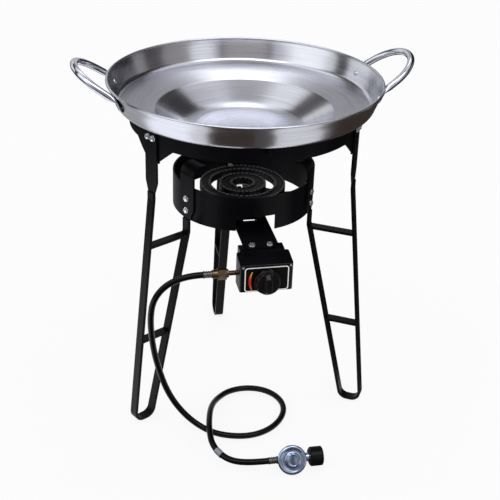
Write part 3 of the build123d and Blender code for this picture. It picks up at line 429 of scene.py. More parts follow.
@dataclass(frozen=True)
class GlossPaint:
    """Black stove paint over sheet and bar, with a faint orange peel."""

    name: str = "black_gloss_paint"
    colour: Colour = (0.0022, 0.0022, 0.0032)
    bloom: Colour = (0.0045, 0.0045, 0.0065)
    rough: float = 0.34
    peel_depth: float = 0.00012
    shine: float = 0.09
    clouds_per_metre: float = 14.0
    peel_per_metre: float = 420.0
    specks_per_metre: float = 900.0
    speck_floor: float = 0.74

    def material(self) -> bpy.types.Material:
        """Paint with cloudy gloss.

        Returns:
            The material.
        """
        bench = Bench(self.name)
        vector, *_ = bench.place()
        cloud = bench.noise(vector, self.clouds_per_metre, detail=4.0, rough=0.6)
        peel = bench.noise(vector, self.peel_per_metre, detail=2.0)
        specks = bench.noise(vector, self.specks_per_metre, detail=1.0).over(self.speck_floor)
        tone = (cloud - 0.35) * 1.6 + specks * 0.25
        return bench.close(
            Base_Color=bench.blend(tone, self.colour, self.bloom),
            Roughness=self.rough + (cloud - 0.5) * 0.16 + specks * 0.1,
            Specular_IOR_Level=self.shine,
            Normal=bench.bump(peel, self.peel_depth, strength=0.35),
        )


@dataclass(frozen=True)
class CastIron:
    """Sand-cast iron, matt, in random paler patches, with a highlight painted on everything above a set
    height.
    """

    name: str = "sand_cast_iron"
    colour: Colour = (0.005, 0.005, 0.0055)
    rubbed: Colour = (0.016, 0.016, 0.017)
    # pale colour painted as a highlight on everything above the set height below
    painted_highlight: Colour = (0.17, 0.17, 0.18)
    highlight_above: float = 10.0
    rough: float = 0.5
    metal: float = 0.35
    grain_depth: float = 0.0005
    grains_per_metre: float = 700.0
    clouds_per_metre: float = 45.0
    pits_per_metre: float = 420.0

    def material(self) -> bpy.types.Material:
        """Coarse grain with rubbed patches, and a highlight painted pale above a height.

        Returns:
            The material.
        """
        bench = Bench(self.name)
        vector, _, _, z = bench.place()
        grain = bench.noise(vector, self.grains_per_metre, detail=4.0, rough=0.65)
        cloud = bench.noise(vector, self.clouds_per_metre, detail=4.0)
        cells = {"Vector": vector, "Scale": self.pits_per_metre}
        pits = bench.signal("ShaderNodeTexVoronoi", 0, inputs=cells)
        tone = (cloud * 0.6 + grain * 0.7 - 0.5) * 1.8
        # painted highlight: everything above the set height, the caps' tooth tops, is painted pale as if it
        # caught the light
        painted_highlight = z.over(self.highlight_above) * (0.45 + cloud)
        return bench.close(
            Base_Color=bench.blend(painted_highlight.at_most(1.0), bench.blend(tone, self.colour, self.rubbed), self.painted_highlight),
            Metallic=self.metal,
            Roughness=self.rough + (grain - 0.5) * 0.25,
            Normal=bench.bump(grain * 0.7 + pits * 0.5, self.grain_depth, strength=0.6),
        )


@dataclass(frozen=True)
class AgedBrass:
    """Brass fittings gone brown in the corners."""

    name: str = "aged_brass"
    colour: Colour = (0.23, 0.155, 0.085)
    tarnish: Colour = (0.07, 0.042, 0.026)
    rough: float = 0.34
    metal: float = 0.95
    grain_depth: float = 0.00003
    clouds_per_metre: float = 110.0
    grains_per_metre: float = 1500.0

    def material(self) -> bpy.types.Material:
        """Brass with brown tarnish clouds.

        Returns:
            The material.
        """
        bench = Bench(self.name)
        vector, *_ = bench.place()
        cloud = bench.noise(vector, self.clouds_per_metre, detail=5.0, rough=0.6)
        fine = bench.noise(vector, self.grains_per_metre, detail=2.0)
        return bench.close(
            Base_Color=bench.blend((cloud - 0.32) * 2.4, self.tarnish, self.colour),
            Metallic=self.metal,
            Roughness=self.rough + (0.6 - cloud) * 0.35,
            Normal=bench.bump(fine, self.grain_depth, strength=0.5),
        )


@dataclass(frozen=True)
class BlackMoulding:
    """Black rubber or plastic with a moulded grain."""

    name: str
    colour: Colour = (0.005, 0.005, 0.0055)
    dusty: Colour = (0.011, 0.011, 0.012)
    rough: float = 0.42
    grains_per_metre: float = 800.0
    grain_depth: float = 0.0001
    shine: float = 0.2
    clouds_per_metre: float = 30.0

    def material(self) -> bpy.types.Material:
        """Grained black with faint dust.

        Returns:
            The material.
        """
        bench = Bench(self.name)
        vector, *_ = bench.place()
        cloud = bench.noise(vector, self.clouds_per_metre, detail=4.0)
        grain = bench.noise(vector, self.grains_per_metre, detail=2.0)
        return bench.close(
            Base_Color=bench.blend((cloud - 0.4) * 1.8, self.colour, self.dusty),
            Roughness=self.rough + (cloud - 0.5) * 0.14 + (grain - 0.5) * 0.1,
            Specular_IOR_Level=self.shine,
            Normal=bench.bump(grain, self.grain_depth, strength=0.4),
        )


@dataclass(frozen=True)
class ZincCasting:
    """Bluish grey zinc casting of the regulator."""

    name: str = "zinc_casting"
    colour: Colour = (0.50, 0.59, 0.76)
    shade: Colour = (0.24, 0.31, 0.48)
    rough: float = 0.15
    grain_depth: float = 0.00003
    clouds_per_metre: float = 80.0
    grains_per_metre: float = 1200.0

    def material(self) -> bpy.types.Material:
        """Satin casting with darker clouds.

        Returns:
            The material.
        """
        bench = Bench(self.name)
        vector, *_ = bench.place()
        cloud = bench.noise(vector, self.clouds_per_metre, detail=4.0)
        grain = bench.noise(vector, self.grains_per_metre, detail=2.0)
        return bench.close(
            Base_Color=bench.blend((cloud - 0.3) * 2.2, self.shade, self.colour),
            Metallic=1.0,
            Roughness=self.rough + (grain - 0.5) * 0.08 + (cloud - 0.5) * 0.08,
            Normal=bench.bump(grain, self.grain_depth, strength=0.4),
        )


@dataclass(frozen=True)
class PrintedFascia:
    """Black dial plate with a pale border line and a warm flame scale left of the knob."""

    name: str = "printed_fascia"
    ground: Colour = (0.004, 0.004, 0.0045)
    line: Colour = (0.88, 0.88, 0.87)
    hot: Colour = (0.62, 0.02, 0.012)
    warm: Colour = (0.78, 0.14, 0.01)
    pale: Colour = (0.80, 0.48, 0.03)
    rough: float = 0.3
    shine: float = 0.12
    grain_depth: float = 0.00003
    grains_per_metre: float = 900.0
    centre_z: float = 400.5 * MM
    knob_z: float = 397 * MM
    half_width: float = 44.5 * MM
    half_height: float = 27 * MM
    corner: float = 7 * MM
    inset: float = 0.5 * MM
    line_width: float = 2.0 * MM
    scale_inner: float = 31.2 * MM
    scale_outer: float = 36 * MM
    scale_half_turn: float = 0.62
    scale_taper: float = 0.75

    def material(self) -> bpy.types.Material:
        """Border by a rounded box's distance, scale by the angle round the knob.

        Returns:
            The material.
        """
        bench = Bench(self.name)
        vector, x, _, z = bench.place()
        up = z - self.centre_z
        over_x = (abs(x) - (self.half_width - self.corner)).at_least(0.0)
        over_z = (abs(up) - (self.half_height - self.corner)).at_least(0.0)
        distance = bench.math("SQRT", over_x * over_x + over_z * over_z) - self.corner
        border = distance.over(-self.inset - self.line_width) * distance.under(-self.inset)
        rise = z - self.knob_z
        reach = bench.math("SQRT", x * x + rise * rise)
        turn = bench.math("ARCTAN2", rise, x * -1.0)
        share = turn / self.scale_half_turn
        taper = (self.scale_outer - self.scale_inner) * (1.0 - self.scale_taper * share * share)
        band = reach.over(self.scale_outer - taper) * reach.under(self.scale_outer)
        scale = band * abs(share).under(1.0) * x.under(0.0)
        stops = ((0.0, self.warm), (0.35, self.hot), (0.6, self.hot), (1.0, self.pale))
        flame = bench.signal("ShaderNodeValToRGB", 0, {"stops": stops}, {0: share * 0.5 + 0.5})
        fine = bench.noise(vector, self.grains_per_metre, detail=2.0)
        inked = bench.blend(border, self.ground, self.line)
        return bench.close(
            Base_Color=bench.blend(scale, inked, flame),
            Roughness=self.rough + (fine - 0.5) * 0.1,
            Specular_IOR_Level=self.shine,
            Normal=bench.bump(fine, self.grain_depth, strength=0.4),
        )


# Meshes


def placed(name: str, data: bpy.types.ID) -> bpy.types.Object:
    """Make an object at the origin and put it in the scene.

    Args:
        name: the object's name.
        data: its mesh, curve, lamp or camera.

    Returns:
        The object.
    """
    made = bpy.data.objects.new(name, data)
    bpy.context.scene.collection.objects.link(made)
    return made


def meshed(work: bmesh.types.BMesh, name: str) -> bpy.types.Mesh:
    """Turn a work mesh into a plain one.

    Args:
        work: the work mesh, which is freed.
        name: the plain mesh's name.

    Returns:
        The plain mesh.
    """
    mesh = bpy.data.meshes.new(name)
    work.to_mesh(mesh)
    work.free()
    return mesh


def finished(
    name: str, mesh: bpy.types.Mesh, material: bpy.types.Material, sharp: float = 35.0
) -> bpy.types.Object:
    """Make an object at the origin, smooth but for its sharp edges.

    Args:
        name: the piece's name.
        mesh: its mesh, in the CAD frame.
        material: its finish.
        sharp: angle in degrees past which an edge stays sharp.

    Returns:
        The object.
    """
    mesh.name = name
    mesh.materials.clear()
    mesh.materials.append(material)
    mesh.shade_smooth()
    mesh.set_sharp_from_angle(angle=math.radians(sharp))
    return placed(name, mesh)


def seat(piece: bpy.types.Object, body: Body, slot: Slot, *nodes: str) -> bpy.types.Object:
    """Ride a piece on its body and say which CAD nodes it stands for.

    Args:
        piece: the finished piece.
        body: the body that carries it.
        slot: the record's material slot; not used.
        nodes: the CAD nodes that it replaces.

    Returns:
        The same piece.
    """
    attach(piece, body.value)
    if nodes:
        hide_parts(*nodes)
    log.info("%s on %s for %s", piece.name, body.value, ", ".join(nodes) or "no node")
    return piece


def eased(node: str, material: bpy.types.Material, edge: float, sharp: float = 32.0) -> bpy.types.Object:
    """Copy a CAD node with its edges eased.

    Args:
        node: the CAD node.
        material: its finish.
        edge: width of the eased edges.
        sharp: angle in degrees past which an edge is eased.

    Returns:
        The copy, at the origin.
    """
    work = bmesh.new()
    work.from_mesh(frame["nodes"][node].data)
    bmesh.ops.remove_doubles(work, verts=work.verts, dist=1e-6)
    bmesh.ops.dissolve_limit(work, angle_limit=math.radians(0.5), verts=work.verts, edges=work.edges)
    piece = finished(f"{node}_eased", meshed(work, node), material, sharp)
    bevel = piece.modifiers.new("eased_edges", "BEVEL")
    bevel.width = edge
    bevel.segments = 2
    bevel.limit_method = "ANGLE"
    bevel.angle_limit = math.radians(sharp)
    bevel.harden_normals = True
    return piece


def lathe(profile: Sequence[tuple[float, float]], turn: Matrix, steps: int = 64) -> bpy.types.Mesh:
    """Turn a closed profile round the local Z axis.

    Args:
        profile: radius and height of each point; a radius of 0 closes on the axis.
        turn: where the local frame stands.
        steps: segments round the turn.

    Returns:
        The turned mesh.
    """
    work = bmesh.new()
    rings: list[list[bmesh.types.BMVert]] = []
    for radius, height in profile:
        if radius < 1e-7:
            rings.append([work.verts.new(turn @ Vector((0, 0, height)))])
            continue
        ring = []
        for step in range(steps):
            angle = 2 * math.pi * step / steps
            spot = Vector((radius * math.cos(angle), radius * math.sin(angle), height))
            ring.append(work.verts.new(turn @ spot))
        rings.append(ring)
    for low, high in zip(rings, rings[1:] + rings[:1]):
        if len(low) == len(high) == 1:
            continue
        for step in range(steps):
            after = (step + 1) % steps
            if len(low) == 1:
                work.faces.new((low[0], high[after], high[step]))
            elif len(high) == 1:
                work.faces.new((low[step], low[after], high[0]))
            else:
                work.faces.new((low[step], low[after], high[after], high[step]))
    bmesh.ops.recalc_face_normals(work, faces=work.faces)
    return meshed(work, "turned")


def upright_on(place: Vector, axis: Vector) -> Matrix:
    """Frame at a place whose Z runs along an axis."""
    return Matrix.Translation(place) @ axis.to_track_quat("Z", "Y").to_matrix().to_4x4()


def rounded(corners: Sequence[Vector], radii: Sequence[float], steps: int = 12) -> list[Vector]:
    """Bend the middle line of a rod or a sheet at its inner corners.

    Args:
        corners: where its straight runs meet.
        radii: bend radius of each inner corner.
        steps: points along each bend.

    Returns:
        The middle line with its bends.
    """
    line = [corners[0].copy()]
    for before, here, after, radius in zip(corners, corners[1:], corners[2:], radii):
        back, ahead = (before - here).normalized(), (after - here).normalized()
        half = back.angle(ahead) / 2
        middle = here + (back + ahead).normalized() * radius / math.sin(half)
        first = here + back * radius / math.tan(half) - middle
        last = here + ahead * radius / math.tan(half) - middle
        sweep = first.angle(last)
        for step in range(steps + 1):
            share = step / steps
            part = math.sin((1 - share) * sweep), math.sin(share * sweep)
            line.append(middle + (first * part[0] + last * part[1]) / math.sin(sweep))
    line.append(corners[-1].copy())
    return line


def spaced(line: Sequence[Vector], gap: float) -> list[Vector]:
    """Add points to the straight runs of a rod's or a sheet's middle line.

    Args:
        line: the middle line.
        gap: longest run allowed.

    Returns:
        The line with even runs.
    """
    out = [line[0]]
    for start, stop in zip(line, line[1:]):
        count = max(1, math.ceil((stop - start).length / gap))
        out.extend(start.lerp(stop, step / count) for step in range(1, count + 1))
    return out


def grooves(
    first: float, pitch: float, count: int, radius: float, depth: float, shares: tuple[float, float, float]
) -> list[tuple[float, float]]:
    """Outline of a row of grooves round a sleeve.

    Args:
        first: height of the first groove.
        pitch: distance from groove to groove.
        count: how many there are.
        radius: the sleeve's radius.
        depth: depth of each groove.
        shares: shares of the pitch at which a groove is down, starts up and ends.

    Returns:
        Radius and height of each point.
    """
    outline = []
    for step in range(count):
        start = first + pitch * step
        down, up, end = (start + pitch * share for share in shares)
        outline += [(radius, start), (radius - depth, down), (radius - depth, up), (radius, end)]
    return outline


class Stamp:
    """Geometry Nodes tree that sets one small form on many marks.

    The marks are a mesh of loose points, each with an "aim" vector that the form's Z axis follows.
    """

    def __init__(self, name: str, sizes: dict[str, float], material: bpy.types.Material) -> None:
        """Start a tree with its named sizes.

        Args:
            name: the tree's name.
            sizes: the named inputs and their values.
            material: the finish set on the result.
        """
        self.tree = bpy.data.node_groups.new(name, "GeometryNodeTree")
        self.sizes = sizes
        self.material = material
        self.tree.interface.new_socket("Geometry", in_out="INPUT", socket_type="NodeSocketGeometry")
        for key in sizes:
            self.tree.interface.new_socket(key, in_out="INPUT", socket_type="NodeSocketFloat")
        self.tree.interface.new_socket("Geometry", in_out="OUTPUT", socket_type="NodeSocketGeometry")
        self.source = self.node("NodeGroupInput")
        self.forms: list[bpy.types.NodeSocket] = []

    def node(self, kind: str, settings: dict | None = None, inputs: dict | None = None) -> bpy.types.Node:
        """Add a node.

        Args:
            kind: the node's type name.
            settings: attributes set first.
            inputs: values, sockets, or names of sizes, by socket name or index.

        Returns:
            The new node.
        """
        made = self.tree.nodes.new(kind)
        for key, value in (settings or {}).items():
            setattr(made, key, value)
        for key, value in (inputs or {}).items():
            if isinstance(value, str):
                value = self.source.outputs[value]
            if isinstance(value, bpy.types.NodeSocket):
                self.tree.links.new(value, made.inputs[key])
            else:
                made.inputs[key].default_value = value
        return made

    def half(self, size: str, factor: float = 0.5) -> bpy.types.NodeSocket:
        """A named size times a factor."""
        return self.node("ShaderNodeMath", {"operation": "MULTIPLY"}, {0: size, 1: factor}).outputs[0]

    def cone(
        self,
        sides: int,
        low: bpy.types.NodeSocket,
        high: bpy.types.NodeSocket,
        tall: str | float,
        lift: float = 0.0,
    ) -> None:
        """Keep a cone or a prism that stands on a lifted base.

        Args:
            sides: its sides.
            low: radius of its base.
            high: radius of its top.
            tall: its height.
            lift: height of its base.
        """
        inputs = {"Vertices": sides, "Radius Bottom": low, "Radius Top": high, "Depth": tall}
        form = self.node("GeometryNodeMeshCone", inputs=inputs).outputs["Mesh"]
        moved = self.node("GeometryNodeTransform", inputs={"Geometry": form, "Translation": (0, 0, lift)})
        self.forms.append(moved.outputs[0])

    def dome(self, radius: bpy.types.NodeSocket, flat: float) -> None:
        """Keep a flattened ball.

        Args:
            radius: its radius.
            flat: its height as a share of its width.
        """
        ball = self.node("GeometryNodeMeshUVSphere", inputs={"Segments": 20, "Rings": 12, "Radius": radius})
        form = ball.outputs["Mesh"]
        squash = self.node("GeometryNodeTransform", inputs={"Geometry": form, "Scale": (1, 1, flat)})
        self.forms.append(squash.outputs[0])

    def block(self, long: str, wide: str, tall: str) -> None:
        """Keep a bar along X that stands half sunk on its mark.

        Args:
            long: named size along X.
            wide: named size along Y.
            tall: named size along Z.
        """
        size = self.node("ShaderNodeCombineXYZ", inputs={0: long, 1: wide, 2: tall}).outputs[0]
        self.forms.append(self.node("GeometryNodeMeshCube", inputs={"Size": size}).outputs["Mesh"])

    def press(
        self,
        name: str,
        marks: Sequence[tuple[Vector, Vector]],
        sharp: float = 35.0,
        grain: tuple[float, float, float] = (0.0, 0.0, 1.0),
    ) -> bpy.types.Object:
        """Set the forms on the marks and turn the result into a plain mesh.

        Args:
            name: the piece's name.
            marks: place and aim of each form.
            sharp: angle in degrees past which an edge stays sharp.
            grain: direction that each form's X axis turns to.

        Returns:
            The finished piece.
        """
        join = self.node("GeometryNodeJoinGeometry")
        for form in self.forms:
            self.tree.links.new(form, join.inputs[0])
        aim = self.node("GeometryNodeInputNamedAttribute", {"data_type": "FLOAT_VECTOR"})
        aim.inputs["Name"].default_value = "aim"
        lean = self.node("FunctionNodeAlignRotationToVector", {"axis": "Z"}, {"Vector": aim.outputs[0]})
        turn = self.node(
            "FunctionNodeAlignRotationToVector",
            {"axis": "X", "pivot_axis": "Z"},
            {"Rotation": lean.outputs[0], "Vector": grain},
        )
        spread = self.node(
            "GeometryNodeInstanceOnPoints",
            inputs={"Points": "Geometry", "Instance": join.outputs[0], "Rotation": turn.outputs[0]},
        )
        real = self.node("GeometryNodeRealizeInstances", inputs={0: spread.outputs[0]})
        dress = self.node("GeometryNodeSetMaterial", inputs={"Geometry": real.outputs[0]})
        dress.inputs["Material"].default_value = self.material
        self.node("NodeGroupOutput", inputs={0: dress.outputs[0]})
        points = bpy.data.meshes.new(f"{name}_marks")
        points.from_pydata([tuple(place) for place, _ in marks], [], [])
        aims = points.attributes.new("aim", "FLOAT_VECTOR", "POINT")
        for item, (_, way) in zip(aims.data, marks):
            item.vector = way
        holder = placed(f"{name}_holder", points)
        modifier = holder.modifiers.new("stamp", "NODES")
        modifier.node_group = self.tree
        for item in self.tree.interface.items_tree:
            if item.in_out == "INPUT" and item.name in self.sizes:
                modifier[item.identifier] = self.sizes[item.name]
        graph = bpy.context.evaluated_depsgraph_get()
        mesh = bpy.data.meshes.new_from_object(holder.evaluated_get(graph))
        holder.modifiers.clear()
        bpy.data.objects.remove(holder)
        if "aim" in mesh.attributes:
            mesh.attributes.remove(mesh.attributes["aim"])
        return finished(name, mesh, self.material, sharp)


def hex_bolts(
    name: str, marks: Sequence[tuple[Vector, Vector]], material: bpy.types.Material, tall: float = 4 * MM
) -> bpy.types.Object:
    """Hexagon heads with a washer, a chamfer and the shank behind.

    Args:
        name: the piece's name.
        marks: seat and aim of each head.
        material: their finish.
        tall: height of the head.

    Returns:
        The bolts.
    """
    washer, chamfer, behind = tall * 0.18, tall * 0.1, 12 * MM
    sizes = {
        "Across": 10 * MM,
        "Tall": tall - washer - chamfer,
        "Washer": 13 * MM,
        "Sheet": washer,
        "Shank": 6 * MM,
    }
    stamp = Stamp(f"{name}_tree", sizes, material)
    corner = stamp.half("Across", 0.5 / math.cos(math.pi / 6))
    shank = stamp.half("Shank")
    stamp.cone(24, stamp.half("Washer"), stamp.half("Washer", 0.48), "Sheet")
    stamp.cone(6, corner, corner, "Tall", washer)
    stamp.cone(24, stamp.half("Across"), stamp.half("Across", 0.4), chamfer, tall - chamfer)
    stamp.cone(12, shank, shank, behind, -behind)
    return stamp.press(name, marks)


# Sub-assemblies


@dataclass
class Pan:
    """Shallow spun pan with two riveted rod handles."""

    sheet: float = 1.5 * MM
    bead: float = 2.6 * MM
    bead_seat: float = 2 * MM
    rim_radius: float = 279.5 * MM
    wall_foot_radius: float = 261.5 * MM
    wall_height: float = 46.5 * MM
    lip_radius: float = 185 * MM
    shelf_slope: float = 0.246
    well_radius: float = 115 * MM
    well_depth: float = 38 * MM
    bends: tuple[float, float, float] = (80 * MM, 14 * MM, 15 * MM)
    rod: float = 14.4 * MM
    rise_deg: float = 34.0
    reach: float = 92 * MM
    half_spread: float = 80 * MM
    half_grip: float = 63 * MM
    grip_bend: float = 73 * MM
    root_bend: float = 11 * MM
    rod_sides: int = 24
    flare_start: float = 20 * MM
    flare_long: float = 22 * MM
    lug_square: float = 0.45
    lug_tip: float = 0.25
    lug_half_width: float = 9.3 * MM
    lug_thick: float = 3 * MM
    lug_seat: float = 0.36 * MM
    root_drop: float = 11.5 * MM
    lug_low_drop: float = 33.5 * MM
    rivet_drop: float = 25 * MM
    rivet_head: float = 11 * MM
    rivet_shank: float = 6 * MM
    rivet_behind: float = 3 * MM
    rim_z: float = 0.0

    def __post_init__(self) -> None:
        """Take the rim's height from the CAD pan."""
        self.rim_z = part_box("pan")[1][2] - self.bead_seat

    @property
    def lean(self) -> float:
        """Angle of the wall from upright."""
        return math.atan2(self.rim_radius - self.wall_foot_radius, self.wall_height)

    def wall(self, side: Side, spread: float, drop: float) -> tuple[Vector, Vector]:
        """Place and outward normal on the wall's outer face.

        Args:
            side: the side of the pan.
            spread: place along Y.
            drop: distance below the rim.

        Returns:
            The place and the normal.
        """
        radius = self.rim_radius - drop * math.tan(self.lean) + self.sheet / 2 / math.cos(self.lean)
        reach = side.value * math.sqrt(radius**2 - spread**2)
        tilt = math.cos(self.lean)
        normal = Vector((reach / radius * tilt, spread / radius * tilt, -math.sin(self.lean)))
        return Vector((reach, spread, self.rim_z - drop)), normal

    def profile(self) -> list[tuple[float, float]]:
        """Closed section of the sheet: out from the axis, round the rim's bead and back.

        Returns:
            Radius and height of each point.
        """
        foot_z = self.rim_z - self.wall_height
        lip_z = foot_z - self.shelf_slope * (self.wall_foot_radius - self.lip_radius)
        well_z = lip_z - self.well_depth
        corners = (
            (0.0, well_z),
            (self.well_radius, well_z),
            (self.lip_radius, lip_z),
            (self.wall_foot_radius, foot_z),
            (self.rim_radius, self.rim_z),
        )
        bent = rounded([Vector((r, 0, z)) for r, z in corners], self.bends, steps=14)
        line = spaced(bent, gap=12 * MM)
        outer, inner = [], []
        for index, point in enumerate(line):
            along = (line[min(index + 1, len(line) - 1)] - line[max(index - 1, 0)]).normalized()
            across = Vector((-along.z, 0, along.x)) * (self.sheet / 2)
            outer.append((max(point.x - across.x, 0.0), point.z - across.z))
            inner.append((max(point.x + across.x, 0.0), point.z + across.z))
        bead = []
        for turn_deg in range(-50, 231, 20):
            turn = self.lean + math.radians(turn_deg)
            across, up = self.bead * math.cos(turn), self.bead * math.sin(turn)
            bead.append((self.rim_radius + across, self.rim_z + up))
        return outer[:-1] + bead + inner[-2::-1]

    def build_sheet(self, material: bpy.types.Material) -> None:
        """Turn the pan.

        Args:
            material: the spun stainless.
        """
        mesh = lathe(self.profile(), Matrix.Identity(4), steps=256)
        seat(finished("spun_pan", mesh, material, sharp=50.0), Body.PAN, Slot.STAINLESS, "pan")

    def half_handle(self, side: Side) -> list[Vector]:
        """Middle line of half a handle, from the low end of its lug to the middle of its grip.

        Args:
            side: the side of the pan.

        Returns:
            The line's points.
        """
        low, normal = self.wall(side, self.half_spread, self.lug_low_drop)
        root, _ = self.wall(side, self.half_spread, self.root_drop)
        off = normal * (self.lug_seat + self.lug_thick / 2)
        rise = math.radians(self.rise_deg)
        ahead = Vector((side.value * math.cos(rise), 0, math.sin(rise)))
        grip = root + off + ahead * self.reach
        grip.y = self.half_grip
        middle = grip.copy()
        middle.y = 0
        bends = (self.root_bend, self.grip_bend)
        bent = rounded([low + off, root + off, grip, middle], bends, steps=16)
        return spaced(bent, gap=3 * MM)

    def rod_section(self, walked: float) -> list[tuple[float, float]]:
        """Outline of a handle's rod, flat at its lug and round at its grip.

        Args:
            walked: distance from the low end of the lug.

        Returns:
            Place of each point across the width and the thickness.
        """
        share = min(max((walked - self.flare_start) / self.flare_long, 0.0), 1.0)
        share = share * share * (3 - 2 * share)
        half_wide = self.lug_half_width + (self.rod / 2 - self.lug_half_width) * share
        half_thin = self.lug_thick / 2 + (self.rod - self.lug_thick) / 2 * share
        tip = min(walked / self.lug_half_width, 1.0)
        half_wide *= max(math.sqrt(1 - (1 - tip) ** 2), self.lug_tip)
        power = self.lug_square + (1 - self.lug_square) * share
        outline = []
        for step in range(self.rod_sides):
            turn = 2 * math.pi * step / self.rod_sides
            across, up = math.cos(turn), math.sin(turn)
            outline.append(
                (
                    math.copysign(abs(across) ** power, across) * half_wide,
                    math.copysign(abs(up) ** power, up) * half_thin,
                )
            )
        return outline

    def build_handle(self, side: Side, material: bpy.types.Material) -> None:
        """Sweep half a handle and mirror it.

        Args:
            side: the side of the pan.
            material: the polished rod.
        """
        name = f"handle_{side.name.lower()}"
        line = self.half_handle(side)
        work = bmesh.new()
        rings, walked, wide = [], 0.0, Vector((0, 1, 0))
        for index, point in enumerate(line):
            walked += (point - line[index - 1]).length if index else 0.0
            along = (line[min(index + 1, len(line) - 1)] - line[max(index - 1, 0)]).normalized()
            wide = (wide - along * wide.dot(along)).normalized()
            thin = along.cross(wide)
            section = self.rod_section(walked)
            rings.append([work.verts.new(point + wide * across + thin * up) for across, up in section])
        for low, high in zip(rings, rings[1:]):
            for step in range(self.rod_sides):
                after = (step + 1) % self.rod_sides
                work.faces.new((low[step], low[after], high[after], high[step]))
        work.faces.new(rings[0][::-1])
        for vert in rings[-1]:
            vert.co.y = 0
        both = bmesh.ops.duplicate(work, geom=[*work.verts, *work.edges, *work.faces])["geom"]
        for vert in (item for item in both if isinstance(item, bmesh.types.BMVert)):
            vert.co.y = -vert.co.y
        bmesh.ops.remove_doubles(work, verts=work.verts, dist=1e-6)
        bmesh.ops.recalc_face_normals(work, faces=work.faces)
        rod = finished(f"{name}_rod", meshed(work, name), material, sharp=60.0)
        seat(rod, Body.PAN, Slot.HANDLE_STEEL, name)

    def build_rivets(self, material: bpy.types.Material) -> None:
        """Press the rivets, domed outside and inside.

        Args:
            material: their finish.
        """
        marks = []
        for side in Side:
            for spread in (-self.half_spread, self.half_spread):
                place, normal = self.wall(side, spread, self.rivet_drop)
                marks.append((place + normal * (self.lug_seat + self.lug_thick), normal))
                marks.append((place - normal * self.sheet, -normal))
        sizes = {"Head": self.rivet_head, "Shank": self.rivet_shank}
        stamp = Stamp("handle_rivets_tree", sizes, material)
        stamp.dome(stamp.half("Head"), flat=0.5)
        shank = stamp.half("Shank")
        stamp.cone(12, shank, shank, self.rivet_behind, -self.rivet_behind)
        seat(stamp.press("handle_rivets_domed", marks), Body.PAN, Slot.HANDLE_STEEL, "handle_rivets")

    def build(self, sheet: bpy.types.Material, rod: bpy.types.Material) -> None:
        """Build the pan, its handles and its rivets.

        Args:
            sheet: the spun stainless.
            rod: the polished rod.
        """
        self.build_sheet(sheet)
        for side in Side:
            self.build_handle(side, rod)
        self.build_rivets(rod)


@dataclass
class Stand:
    """Painted bar legs, hoop and burner ring with their bolts."""

    edge: float = 0.7 * MM
    hoop_radius: float = 236 * MM
    plate: float = 4 * MM
    gap: float = 0.2 * MM
    hoop_bolt_z: float = 649 * MM
    hoop_bolt_spread: float = 16 * MM
    seam_z: float = 655 * MM
    ring_radius: float = 148 * MM
    ring_bolt_z: tuple[float, float] = (494 * MM, 468 * MM)

    def painted(self) -> list[str]:
        """Name the pieces of painted sheet and bar.

        Returns:
            Their CAD nodes.
        """
        kinds = ("hoop_plate", "ring_plate", "leg_bar", "upper_rung", "lower_rung")
        legs = [f"{kind}_{leg.name.lower()}" for leg in Leg for kind in kinds]
        return ["top_hoop", "burner_ring", "burner_strap", "control_bracket", *legs]

    def build(self, paint: bpy.types.Material, zinc: bpy.types.Material) -> None:
        """Ease the painted pieces and press the bolts.

        Args:
            paint: the black paint.
            zinc: the plating of the bolts.
        """
        for node in self.painted():
            seat(eased(node, paint, self.edge), Body.STAND, Slot.BLACK_PAINT, node)
        face = self.hoop_radius + 2 * self.gap + self.plate
        turn = self.hoop_bolt_spread / 2 / (self.hoop_radius + self.gap + self.plate)
        hoop, ring = [], []
        for leg in Leg:
            for side in (-1, 1):
                way = Matrix.Rotation(side * turn, 3, "Z") @ leg.outward
                hoop.append((way * face + Vector((0, 0, self.hoop_bolt_z)), way))
            reach = self.ring_radius + 2 * self.gap + self.plate
            ring += [(leg.outward * reach + Vector((0, 0, z)), leg.outward) for z in self.ring_bolt_z]
        seat(hex_bolts("hoop_bolt_heads", hoop, zinc), Body.STAND, Slot.ZINC, "hoop_bolts")
        seat(hex_bolts("ring_bolt_heads", ring, zinc), Body.STAND, Slot.ZINC, "ring_bolts")
        front = Vector((0, -1, 0))
        seam = [(front * (self.hoop_radius + self.gap) + Vector((0, 0, self.seam_z)), front)]
        seat(hex_bolts("hoop_seam_bolt", seam, paint), Body.STAND, Slot.BLACK_PAINT)


@dataclass
class BurnerUnit:
    """Cast double-ring burner with toothed caps."""

    edge: float = 0.35 * MM
    eased_past_deg: float = 40.0
    highlight_depth: float = 1 * MM

    def build(self, iron: bpy.types.Material) -> None:
        """Ease the casting and its caps, with a highlight painted pale on the caps' tooth tops.

        Args:
            iron: the cast iron.
        """
        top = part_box("burner_outer_cap")[1][2]
        # the caps' iron has a highlight painted pale on their tooth tops
        painted_highlight = CastIron("highlit_cap_iron", highlight_above=top - self.highlight_depth).material()
        for node, finish in (("burner_body", iron), ("burner_outer_cap", painted_highlight), ("burner_inner_cap", painted_highlight)):
            piece = eased(node, finish, self.edge, self.eased_past_deg)
            seat(piece, Body.STAND, Slot.CAST_IRON, node)


